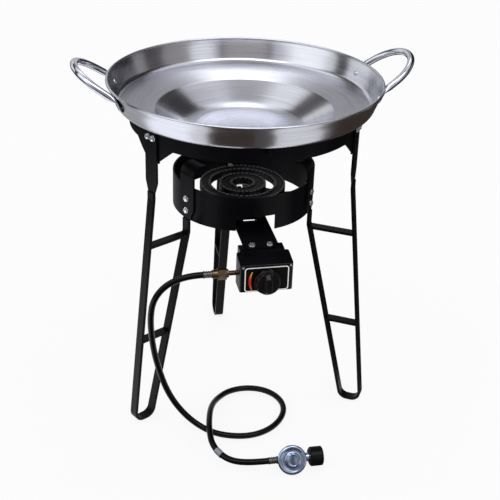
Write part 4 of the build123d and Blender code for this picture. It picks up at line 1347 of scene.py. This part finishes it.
@dataclass
class ControlBox:
    """Painted hood with its printed fascia and knob."""

    hood_edge: float = 0.9 * MM
    knob_edge: float = 2.2 * MM
    knob_grow: float = 1.09
    grip_tall: float = 8.4 * MM
    grip_taper: float = 0.24
    knob_z: float = 397 * MM
    knob_eased_past_deg: float = 20.0
    bolt_y: float = -200 * MM
    bolt_half_spread: float = 18 * MM
    bolt_gap: float = 0.2 * MM
    face_y: float = -262 * MM
    fascia_sheet: float = 1 * MM
    corner_steps: int = 6

    def build_fascia(self, print_on_it: PrintedFascia, material: bpy.types.Material) -> None:
        """Cut the dial plate to the size of its print.

        Args:
            print_on_it: the print, which gives the plate's size.
            material: the same print as a material.
        """
        work = bmesh.new()
        corner = print_on_it.corner
        wide, tall = print_on_it.half_width - corner, print_on_it.half_height - corner
        outline = []
        for quarter, (x, z) in enumerate(((wide, tall), (-wide, tall), (-wide, -tall), (wide, -tall))):
            for step in range(self.corner_steps + 1):
                turn = math.radians(90 * (quarter + step / self.corner_steps))
                outline.append((x + corner * math.cos(turn), z + corner * math.sin(turn)))
        rows = []
        for y in (self.face_y, self.face_y - self.fascia_sheet):
            rows.append([work.verts.new((x, y, print_on_it.centre_z + z)) for x, z in outline])
        for before, after in zip(range(-1, len(outline) - 1), range(len(outline))):
            work.faces.new((rows[0][before], rows[0][after], rows[1][after], rows[1][before]))
        work.faces.new(rows[0])
        work.faces.new(rows[1])
        bmesh.ops.remove_doubles(work, verts=work.verts, dist=1e-6)
        bmesh.ops.recalc_face_normals(work, faces=work.faces)
        plate = finished("dial_plate", meshed(work, "dial_plate"), material)
        seat(plate, Body.STAND, Slot.FASCIA, "fascia_panel")

    def build_knob(self, material: bpy.types.Material) -> None:
        """Ease the knob and draw its grip in towards the front.

        Args:
            material: the knob's moulding.
        """
        knob = eased("knob", material, self.knob_edge, self.knob_eased_past_deg)
        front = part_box("knob")[0][1]
        for vert in knob.data.vertices:
            ahead = max(1 - (vert.co.y - front) / self.grip_tall, 0.0)
            grow = self.knob_grow * (1 - self.grip_taper * ahead)
            vert.co.x *= self.knob_grow
            vert.co.z = self.knob_z + (vert.co.z - self.knob_z) * grow
        seat(knob, Body.KNOB, Slot.KNOB_PLASTIC, "knob")

    def build(self, finishes: dict[Slot, bpy.types.Material], paint: bpy.types.Material) -> None:
        """Build the fascia, the hood and the knob and press the bracket's bolts.

        Args:
            finishes: every finish by its slot.
            paint: the hood's own paint.
        """
        self.build_fascia(PrintedFascia(), finishes[Slot.FASCIA])
        cover = eased("control_cover", paint, self.hood_edge)
        seat(cover, Body.STAND, Slot.BLACK_PAINT, "control_cover")
        self.build_knob(finishes[Slot.KNOB_PLASTIC])
        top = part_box("control_bracket")[1][2] + self.bolt_gap
        seats = [Vector((side * self.bolt_half_spread, self.bolt_y, top)) for side in (-1, 1)]
        marks = [(place, Vector((0, 0, 1))) for place in seats]
        bolts = hex_bolts("bracket_bolt_heads", marks, finishes[Slot.ZINC])
        seat(bolts, Body.STAND, Slot.ZINC, "bracket_bolts")


@dataclass
class Supply:
    """Fittings at both ends of the hose."""

    edge: float = 0.5 * MM
    eased_past_deg: float = 25.0
    line_y: float = -350 * MM
    line_z: float = 20.5 * MM
    case_x: float = 46.05 * MM
    case_rise_deg: float = 30.0
    flange_top: float = 18.05 * MM
    dish_radius: float = 30 * MM
    cap_radius: float = 13.5 * MM
    cap_low: float = 22.9 * MM
    cap_top: float = 27 * MM
    nut_start: float = 85.5 * MM
    nut_end: float = 113 * MM
    nut_radius: float = 18.6 * MM
    nut_bore: float = 16 * MM
    nut_neck: float = 9.4 * MM
    rib_count: int = 30
    rib: tuple[float, float, float] = (23 * MM, 2.0 * MM, 2.6 * MM)
    rib_shift: float = 0.6 * MM
    crimp_count: int = 3
    crimp_depth: float = 0.9 * MM
    crimp_margin: float = 2 * MM
    ferrule_bore_share: float = 0.72

    def build_case(self, material: bpy.types.Material) -> list[bpy.types.Object]:
        """Turn the regulator's dished bonnet and its cap.

        Args:
            material: the zinc casting.

        Returns:
            The bonnet and the cap.
        """
        rise = math.radians(self.case_rise_deg)
        face = upright_on(
            Vector((self.case_x, self.line_y, self.line_z)), Vector((0, -math.cos(rise), math.sin(rise)))
        )
        low, wide, cap = self.flange_top, self.dish_radius, self.cap_radius
        dish = (
            (0.0, low),
            (wide - 6 * MM, low - 3 * MM),
            (wide, low - 3.5 * MM),
            (wide + 0.3 * MM, low + 0.2 * MM),
            (wide - 0.6 * MM, low + 1.7 * MM),
            (wide - 2.2 * MM, low + 2.9 * MM),
            (wide - 4 * MM, low + 3.3 * MM),
            (wide - 5.6 * MM, low + 2.9 * MM),
            (wide - 8 * MM, low + 1.7 * MM),
            (wide - 11 * MM, low + 1.2 * MM),
            (cap + 2.4 * MM, low + 1.6 * MM),
            (cap + 1.4 * MM, low + 2.6 * MM),
            (cap + 1.1 * MM, low + 4.6 * MM),
            (cap + 0.4 * MM, low + 4.95 * MM),
            (0.0, low + 4.95 * MM),
        )
        bonnet = finished("regulator_dish", lathe(dish, face, steps=96), material, sharp=55.0)
        crown = (
            (0.0, self.cap_low),
            (cap - 0.3 * MM, self.cap_low),
            (cap, self.cap_low + 0.4 * MM),
            (cap, self.cap_top - 0.9 * MM),
            (cap - 0.9 * MM, self.cap_top),
            (cap - 2.2 * MM, self.cap_top),
            (cap - 3 * MM, self.cap_top - 0.7 * MM),
            (cap - 6 * MM, self.cap_top - 0.5 * MM),
            (0.0, self.cap_top - 0.3 * MM),
        )
        cover = finished("regulator_crown", lathe(crown, face), material, sharp=55.0)
        return [
            seat(bonnet, Body.STAND, Slot.REGULATOR_ZINC, "regulator_bonnet"),
            seat(cover, Body.STAND, Slot.REGULATOR_ZINC, "regulator_cap"),
        ]

    def build_nut(self, material: bpy.types.Material) -> list[bpy.types.Object]:
        """Turn the coupling nut and stamp its grip ribs.

        Args:
            material: the black moulding.

        Returns:
            The nut and its ribs.
        """
        along = upright_on(Vector((0, self.line_y, self.line_z)), Vector((1, 0, 0)))
        start, end, wide = self.nut_start, self.nut_end, self.nut_radius
        hub = (
            (self.nut_neck, start),
            (wide - 2 * MM, start),
            (wide, start + 1.6 * MM),
            (wide, end - 1 * MM),
            (wide - 1 * MM, end),
            (self.nut_bore, end),
            (self.nut_bore, start + 9.5 * MM),
            (self.nut_bore - 3 * MM, start + 9.5 * MM),
            (self.nut_bore - 3 * MM, start + 2.6 * MM),
            (self.nut_neck, start + 2.6 * MM),
        )
        nut = finished("coupling_hub", lathe(hub, along, steps=72), material, sharp=30.0)
        middle = Vector(((start + end) / 2 + self.rib_shift, self.line_y, self.line_z))
        marks = []
        for step in range(self.rib_count):
            turn = 2 * math.pi * step / self.rib_count
            way = Vector((0, math.cos(turn), math.sin(turn)))
            marks.append((middle + way * wide, way))
        stamp = Stamp("coupling_ribs_tree", dict(zip(("Long", "Wide", "Tall"), self.rib)), material)
        stamp.block("Long", "Wide", "Tall")
        ribs = stamp.press("coupling_ribs", marks, sharp=30.0, grain=(1.0, 0.0, 0.0))
        return [seat(nut, Body.NUT, Slot.NUT_PLASTIC, "coupling_nut"), seat(ribs, Body.NUT, Slot.NUT_PLASTIC)]

    def build_ferrule(self, node: str, material: bpy.types.Material) -> bpy.types.Object:
        """Turn a hose ferrule with its crimped waists.

        Args:
            node: the CAD node that it replaces.
            material: the crimped steel.

        Returns:
            The ferrule.
        """
        low, high = (Vector(corner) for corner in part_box(node))
        radius = (high.z - low.z) / 2
        middle = (low + high) / 2
        along = upright_on(Vector((low.x, middle.y, middle.z)), Vector((1, 0, 0)))
        long = high.x - low.x
        bore = radius * self.ferrule_bore_share
        pitch = (long - 2 * self.crimp_margin) / self.crimp_count
        outline = [
            (bore, 0.0),
            (radius - 0.5 * MM, 0.0),
            (radius, 0.6 * MM),
            *grooves(self.crimp_margin, pitch, self.crimp_count, radius, self.crimp_depth, (0.3, 0.7, 1.0)),
            (radius, long - 0.6 * MM),
            (radius - 0.5 * MM, long),
            (bore, long),
        ]
        ferrule = finished(f"{node}_crimped", lathe(outline, along, steps=40), material, sharp=25.0)
        return seat(ferrule, Body.STAND, Slot.FERRULE_STEEL, node)

    def build(self, finishes: dict[Slot, bpy.types.Material]) -> list[bpy.types.Object]:
        """Ease the fittings and build the regulator, its nut and the ferrules.

        Args:
            finishes: every finish by its slot.

        Returns:
            The pieces on the hose's far end.
        """
        for node in ("inlet_nipple", "inlet_union"):
            fitting = eased(node, finishes[Slot.BRASS], self.edge, self.eased_past_deg)
            seat(fitting, Body.STAND, Slot.BRASS, node)
        self.build_ferrule("hose_ferrule_inlet", finishes[Slot.FERRULE_STEEL])
        body = eased("regulator_body", finishes[Slot.REGULATOR_ZINC], self.edge, self.eased_past_deg)
        return [
            self.build_ferrule("hose_ferrule_regulator", finishes[Slot.FERRULE_STEEL]),
            seat(body, Body.STAND, Slot.REGULATOR_ZINC, "regulator_body"),
            *self.build_case(finishes[Slot.REGULATOR_ZINC]),
            *self.build_nut(finishes[Slot.NUT_PLASTIC]),
        ]


@dataclass
class Hose:
    """Rubber hose from the inlet to the regulator, with the band shrunk on it."""

    length: float = 1.257
    diameter: float = 13 * MM
    band_long: float = 17 * MM
    band_sheet: float = 0.7 * MM
    band_margin: float = 1 * MM
    band_grooves: int = 4
    groove_depth: float = 0.4 * MM
    band_after: int = 25
    end_nodes: tuple[str, ...] = (
        "hose_ferrule_regulator",
        "regulator_body",
        "regulator_bonnet",
        "regulator_cap",
        "regulator_nipple",
        "coupling_nut",
    )
    start: Vector = field(default_factory=lambda: Vector((-119.15, -224, 397)) * MM)
    end: Vector = field(default_factory=lambda: Vector((-0.05, -350, 20.5)) * MM)

    def route(self) -> list[Vector]:
        """List the given points of the hose's line.

        Returns:
            The points from the inlet to the regulator.
        """
        inner = (
            (-152.15, -224, 397),
            (-193, -220, 378),
            (-217, -211, 340),
            (-222, -201, 293),
            (-219, -191, 241),
            (-212, -181, 189),
            (-201, -179, 142),
            (-187, -179, 96),
            (-165, -184, 54),
            (-134, -199, 22),
            (-97, -223, 7),
            (-55, -243, 7),
            (-11, -247, 7),
            (30, -231, 7),
            (61, -200, 7),
            (78, -160, 7),
            (72, -118, 7),
            (45, -86, 7),
            (5, -73, 7),
            (-36, -83, 9),
            (-66, -114, 15),
            (-86, -154, 27),
            (-99, -202, 36),
            (-107, -250, 36),
            (-106.5, -288.5, 24),
            (-84, -327.5, 17),
            (-45, -350, 20.5),
        )
        return [self.start, *(Vector(point) * MM for point in inner), self.end]

    def build_band(self, material: bpy.types.Material) -> bpy.types.Object:
        """Turn the plain grooved band that is shrunk on the hose near the regulator.

        Args:
            material: the grey band.

        Returns:
            The band.
        """
        before, after = self.route()[self.band_after : self.band_after + 2]
        along = upright_on((before + after) / 2, (after - before).normalized())
        bore, wide, half = self.diameter / 2, self.diameter / 2 + self.band_sheet, self.band_long / 2
        pitch = (self.band_long - 2 * self.band_margin) / self.band_grooves
        first = self.band_margin - half
        rings = grooves(first, pitch, self.band_grooves, wide, self.groove_depth, (0.25, 0.6, 0.85))
        outline = [(bore, -half), (wide, -half), *rings, (wide, half), (bore, half)]
        band = finished("hose_band", lathe(outline, along, steps=40), material, sharp=25.0)
        return seat(band, Body.STAND, Slot.FERRULE_STEEL)

    def build(self, material: bpy.types.Material, on_it: Sequence[bpy.types.Object]) -> None:
        """Args:
            material: the rubber.
            on_it: pieces and CAD nodes that lie on the hose; not used.
        """
        points = self.route()
        curve = bpy.data.curves.new("gas_hose_line", "CURVE")
        curve.dimensions = "3D"
        curve.bevel_depth = self.diameter / 2
        curve.bevel_resolution = 6
        curve.resolution_u = 10
        curve.use_fill_caps = True
        spline = curve.splines.new("NURBS")
        spline.points.add(len(points) - 1)
        for spot, point in zip(spline.points, points):
            spot.co = (*point, 1.0)
        spline.order_u = 3
        spline.use_endpoint_u = True
        curve.materials.append(material)
        hose = seat(placed("gas_hose_tube", curve), Body.STAND, Slot.HOSE_RUBBER, "gas_hose")


# Studio


def sphere_way(turn_deg: float, rise_deg: float) -> Vector:
    """Direction by its turn from the front towards +X and its rise from the floor."""
    turn, rise = math.radians(turn_deg), math.radians(rise_deg)
    return Vector((math.sin(turn) * math.cos(rise), -math.cos(turn) * math.cos(rise), math.sin(rise)))


class Tone(Enum):
    """Tones of the studio cards, from dark to brighter than white."""

    DARK = (0.030, 0.028, 0.028)
    BROWN = (0.052, 0.038, 0.031)
    SOOT = (0.100, 0.090, 0.086)
    DIM = (0.165, 0.152, 0.146)
    UMBER = (0.37, 0.345, 0.335)
    HALF = (0.45, 0.45, 0.46)
    CLOUD = (0.62, 0.62, 0.65)
    GLOW = (1.36, 1.37, 1.44)
    BEAM = (3.50, 3.56, 3.72)


@dataclass(frozen=True)
class Lamp:
    """Round softbox aimed at the object."""

    name: str
    turn_deg: float
    rise_deg: float
    reach: float
    size: tuple[float, float]
    power: float

    def hang(self, aim: Vector) -> None:
        """Hang the lamp at its place round the object.

        Args:
            aim: the point it looks at.
        """
        data = bpy.data.lights.new(self.name, "AREA")
        data.shape = "ELLIPSE"
        data.size, data.size_y = self.size
        data.energy = self.power
        lamp = placed(self.name, data)
        way = sphere_way(self.turn_deg, self.rise_deg)
        lamp.location = aim + way * self.reach
        lamp.rotation_euler = (-way).to_track_quat("-Z", "Y").to_euler()


@dataclass(frozen=True)
class Card:
    """Toned studio card, on a dome or on the floor, that only gloss sees."""

    name: str
    tone: Tone
    turn_deg: tuple[float, float]
    rise_deg: tuple[float, float] = (0.0, 0.0)
    ring: tuple[float, float] = (0.0, 0.0)
    reach: float = 5.0
    steps: int = 12
    dome_z: float = 0.6
    floor_gap: float = 1 * MM

    def spot(self, across: float, up: float) -> Vector:
        """Point of the card.

        Args:
            across: share of its turn.
            up: share of its height, or of its ring's width on the floor.

        Returns:
            The point.
        """
        turn = self.turn_deg[0] + (self.turn_deg[1] - self.turn_deg[0]) * across
        if self.ring[1]:
            flat = sphere_way(turn, 0.0) * (self.ring[0] + (self.ring[1] - self.ring[0]) * up)
            return flat + Vector((0, 0, self.floor_gap))
        rise = self.rise_deg[0] + (self.rise_deg[1] - self.rise_deg[0]) * up
        return sphere_way(turn, rise) * self.reach + Vector((0, 0, self.dome_z))

    def stand(self) -> None:
        """Make the card and hide it from camera, diffuse, shadow and transmission rays."""
        bench = Bench(f"{self.name}_tone")
        shade = {"Color": (*self.tone.value, 1.0), "Strength": 1.0}
        glow = bench.signal("ShaderNodeEmission", 0, inputs=shade)
        bench.node("ShaderNodeOutputMaterial", inputs={"Surface": glow})
        count = self.steps
        spots = [self.spot(i / count, j / count) for j in range(count + 1) for i in range(count + 1)]
        row = count + 1
        faces = [
            (j * row + i, j * row + i + 1, (j + 1) * row + i + 1, (j + 1) * row + i)
            for j in range(count)
            for i in range(count)
        ]
        mesh = bpy.data.meshes.new(self.name)
        mesh.from_pydata([tuple(spot) for spot in spots], [], faces)
        mesh.materials.append(bench.material)
        card = placed(self.name, mesh)
        card.visible_camera = False
        card.visible_diffuse = False
        card.visible_shadow = False
        card.visible_transmission = False


@dataclass
class Studio:
    """Pale floor, soft lamps, toned cards and the camera of the photograph."""

    camera_reach: float = 2.0
    camera_height: float = 1.3896
    turn_deg: float = 11.6
    pitch_deg: float = 28.0
    yaw_deg: float = 0.6
    roll_deg: float = 2.0
    focal_px: float = 1028.0
    frame_px: float = 500.0
    sensor_mm: float = 36.0
    floor_size: float = 30.0
    floor_pale: float = 0.92
    floor_glow: float = 0.88
    sky: float = 0.85
    lamp_aim_z: float = 0.5
    lamps: tuple[Lamp, ...] = (
        Lamp("key_softbox", -72.0, 34.0, 3.2, (2.4, 2.4), 6.8),
        Lamp("fill_softbox", 32.0, 26.0, 3.4, (1.3, 1.6), 2.5),
        Lamp("rear_softbox", 168.0, 52.0, 3.0, (0.5, 0.95), 2.2),
    )
    cards: tuple[Card, ...] = (
        Card("card_front", Tone.UMBER, (-32, 10), (-4, 46)),
        Card("card_front_left", Tone.SOOT, (-37, -27), (-4, 46)),
        Card("card_front_right", Tone.SOOT, (6, 15), (-4, 46)),
        Card("card_front_high", Tone.BEAM, (-64, 56), (49, 74), steps=24),
        Card("card_near_left", Tone.CLOUD, (-56, -37), (-4, 46)),
        Card("card_near_right", Tone.CLOUD, (15, 44), (-4, 46)),
        Card("card_right", Tone.UMBER, (44, 72), (-4, 48)),
        Card("card_right_far", Tone.SOOT, (72, 92), (-4, 48)),
        Card("card_low_near", Tone.UMBER, (92, 106), (-4, 22)),
        Card("card_side_right", Tone.DARK, (92, 118), (22, 48)),
        Card("card_low_right", Tone.DARK, (106, 154), (-4, 24)),
        Card("card_rear_right", Tone.DARK, (118, 154), (24, 46)),
        Card("card_high_right", Tone.CLOUD, (112, 141), (47, 74)),
        Card("card_left", Tone.DARK, (-116, -102), (-2, 50)),
        Card("card_side_left", Tone.SOOT, (-178, -118), (28, 46)),
        Card("card_rear_step", Tone.CLOUD, (154, 182), (38, 43)),
        Card("card_rear_near", Tone.HALF, (154, 182), (18, 38)),
        Card("card_rear_low", Tone.CLOUD, (154, 215), (-4, 18)),
        Card("card_arc", Tone.GLOW, (142, 202), (50, 63)),
        Card("card_top", Tone.UMBER, (-180, 180), (75, 90), steps=36),
        Card("card_top_rear", Tone.HALF, (142, 202), (66, 76)),
        Card("floor_front", Tone.BROWN, (-45, -2), ring=(0.30, 1.5)),
        Card("floor_front_right", Tone.SOOT, (-2, 18), ring=(0.30, 1.5)),
        Card("floor_right_edge", Tone.DIM, (64, 72), ring=(0.30, 1.5)),
        Card("floor_right", Tone.BROWN, (72, 162), ring=(0.30, 1.5)),
        Card("floor_left_glow", Tone.GLOW, (-106, -62), ring=(0.30, 1.5)),
        Card("floor_left", Tone.HALF, (-175, -110), ring=(0.30, 1.5)),
        Card("floor_far", Tone.DARK, (-180, 180), ring=(1.5, 6.0), steps=48),
    )

    def shoot(self) -> None:
        """Set up the camera."""
        yaw, pitch, roll = (math.radians(a) for a in (self.yaw_deg, self.pitch_deg, self.roll_deg))
        ahead = Vector((math.sin(yaw) * math.cos(pitch), math.cos(yaw) * math.cos(pitch), -math.sin(pitch)))
        level = Vector((math.cos(yaw), -math.sin(yaw), 0))
        upright = level.cross(ahead)
        right = level * math.cos(roll) + upright * math.sin(roll)
        top = upright * math.cos(roll) - level * math.sin(roll)
        round_axis = Matrix.Rotation(-math.radians(self.turn_deg), 3, "Z")
        place = round_axis @ Vector((0, -self.camera_reach, self.camera_height))
        axes = [round_axis @ axis for axis in (right, top, -ahead)]
        data = bpy.data.cameras.new("photo_camera")
        data.sensor_width = self.sensor_mm
        data.lens = self.sensor_mm * self.focal_px / self.frame_px
        camera = placed("photo_camera", data)
        camera.matrix_world = Matrix.Translation(place) @ Matrix(axes).transposed().to_4x4()
        bpy.context.scene.camera = camera

    def light(self) -> None:
        """Hang the lamps, stand the cards and set the world."""
        for lamp in self.lamps:
            lamp.hang(Vector((0, 0, self.lamp_aim_z)))
        for card in self.cards:
            card.stand()
        world = bpy.data.worlds.new("studio_world")
        bpy.context.scene.world = world
        world.use_nodes = True
        bench = Bench("studio_world", world.node_tree)
        seen = bench.background_seen()
        soft, white = (
            bench.signal("ShaderNodeBackground", 0, inputs={"Color": (1, 1, 1, 1), "Strength": strength})
            for strength in (self.sky, 1.0)
        )
        mix = bench.signal("ShaderNodeMixShader", 0, inputs={0: seen, 1: soft, 2: white})
        bench.node("ShaderNodeOutputWorld", inputs={"Surface": mix})

    def floor(self) -> None:
        """Lay the floor: white to the camera, with the object's shadow left in."""
        bench = Bench("studio_floor")
        seen = bench.background_seen()
        pale = (self.floor_pale, self.floor_pale, self.floor_pale, 1)
        matt = bench.signal("ShaderNodeBsdfDiffuse", 0, inputs={"Color": pale})
        glow = bench.signal("ShaderNodeEmission", 0, inputs={"Color": (1, 1, 1, 1), "Strength": 1.0})
        mix = bench.signal("ShaderNodeMixShader", 0, inputs={0: seen * self.floor_glow, 1: matt, 2: glow})
        bench.node("ShaderNodeOutputMaterial", inputs={"Surface": mix})
        half = self.floor_size / 2
        mesh = bpy.data.meshes.new("floor")
        corners = [(-half, -half, 0), (half, -half, 0), (half, half, 0), (-half, half, 0)]
        mesh.from_pydata(corners, [], [(0, 1, 2, 3)])
        mesh.materials.append(bench.material)
        placed("floor", mesh)


# Assembly


def mix_finishes() -> dict[Slot, bpy.types.Material]:
    """Make the finish of every slot.

    Returns:
        The materials by their slot.
    """
    knob = BlackMoulding("knob_moulding", (0.002, 0.002, 0.0022), (0.005, 0.005, 0.0055), 0.17, shine=0.5)
    rubber = BlackMoulding(
        "hose_rubber_skin",
        (0.0015, 0.0015, 0.0017),
        (0.004, 0.004, 0.0043),
        rough=0.24,
        grains_per_metre=600.0,
        grain_depth=0.00002,
        shine=0.16,
    )
    recipes = {
        Slot.STAINLESS: SpunStainless(),
        Slot.HANDLE_STEEL: BrightSteel("polished_rod", (0.62, 0.645, 0.72), 0.13, 0.08, grain_depth=0.000004),
        Slot.BLACK_PAINT: GlossPaint(),
        Slot.ZINC: BrightSteel("zinc_plate", (0.90, 0.92, 0.96), 0.2, 0.15, metal=0.8),
        Slot.CAST_IRON: CastIron(),
        Slot.FASCIA: PrintedFascia(),
        Slot.BRASS: AgedBrass(),
        Slot.PIPE: BrightSteel("pipe_aluminium", (0.55, 0.55, 0.55), 0.38),
        Slot.KNOB_PLASTIC: knob,
        Slot.FERRULE_STEEL: BrightSteel("crimp_steel", (0.20, 0.19, 0.185), 0.4),
        Slot.HOSE_RUBBER: rubber,
        Slot.REGULATOR_ZINC: ZincCasting(),
        Slot.NUT_PLASTIC: BlackMoulding("nut_moulding", (0.003, 0.003, 0.0033), rough=0.34, shine=0.16),
    }
    return {slot: recipe.material() for slot, recipe in recipes.items()}


def dress_frame(finishes: dict[Slot, bpy.types.Material]) -> None:
    """Give every CAD node its finish.

    Args:
        finishes: every finish by its slot.
    """
    for entry in frame["record"]["subparts"]:
        node = frame["nodes"][entry["node"]]
        node.data.materials.clear()
        node.data.materials.append(finishes[Slot(entry["material_slot"])])
    burnt = BrightSteel("burnt_zinc", (0.10, 0.10, 0.105), 0.5).material()
    frame["nodes"]["burner_bolts"].data.materials[0] = burnt


def main() -> None:
    """Build every piece in order."""
    logging.basicConfig(level=logging.INFO, format="%(message)s")
    bpy.context.scene.view_settings.view_transform = "Standard"
    studio = Studio()
    studio.shoot()
    studio.light()
    studio.floor()
    finishes = mix_finishes()
    dress_frame(finishes)
    Pan().build(finishes[Slot.STAINLESS], finishes[Slot.HANDLE_STEEL])
    Stand().build(finishes[Slot.BLACK_PAINT], finishes[Slot.ZINC])
    BurnerUnit().build(finishes[Slot.CAST_IRON])
    ControlBox().build(finishes, GlossPaint("box_gloss_paint", rough=0.26, shine=0.28).material())
    fittings = Supply().build(finishes)
    hose = Hose()
    band = BrightSteel("band_grey", (0.30, 0.32, 0.36), 0.4, 0.2, metal=0.4).material()
    fittings.append(hose.build_band(band))
    fittings += [frame["nodes"][node] for node in hose.end_nodes]
    hose.build(finishes[Slot.HOSE_RUBBER], fittings)


if __name__ == "__main__":
    main()
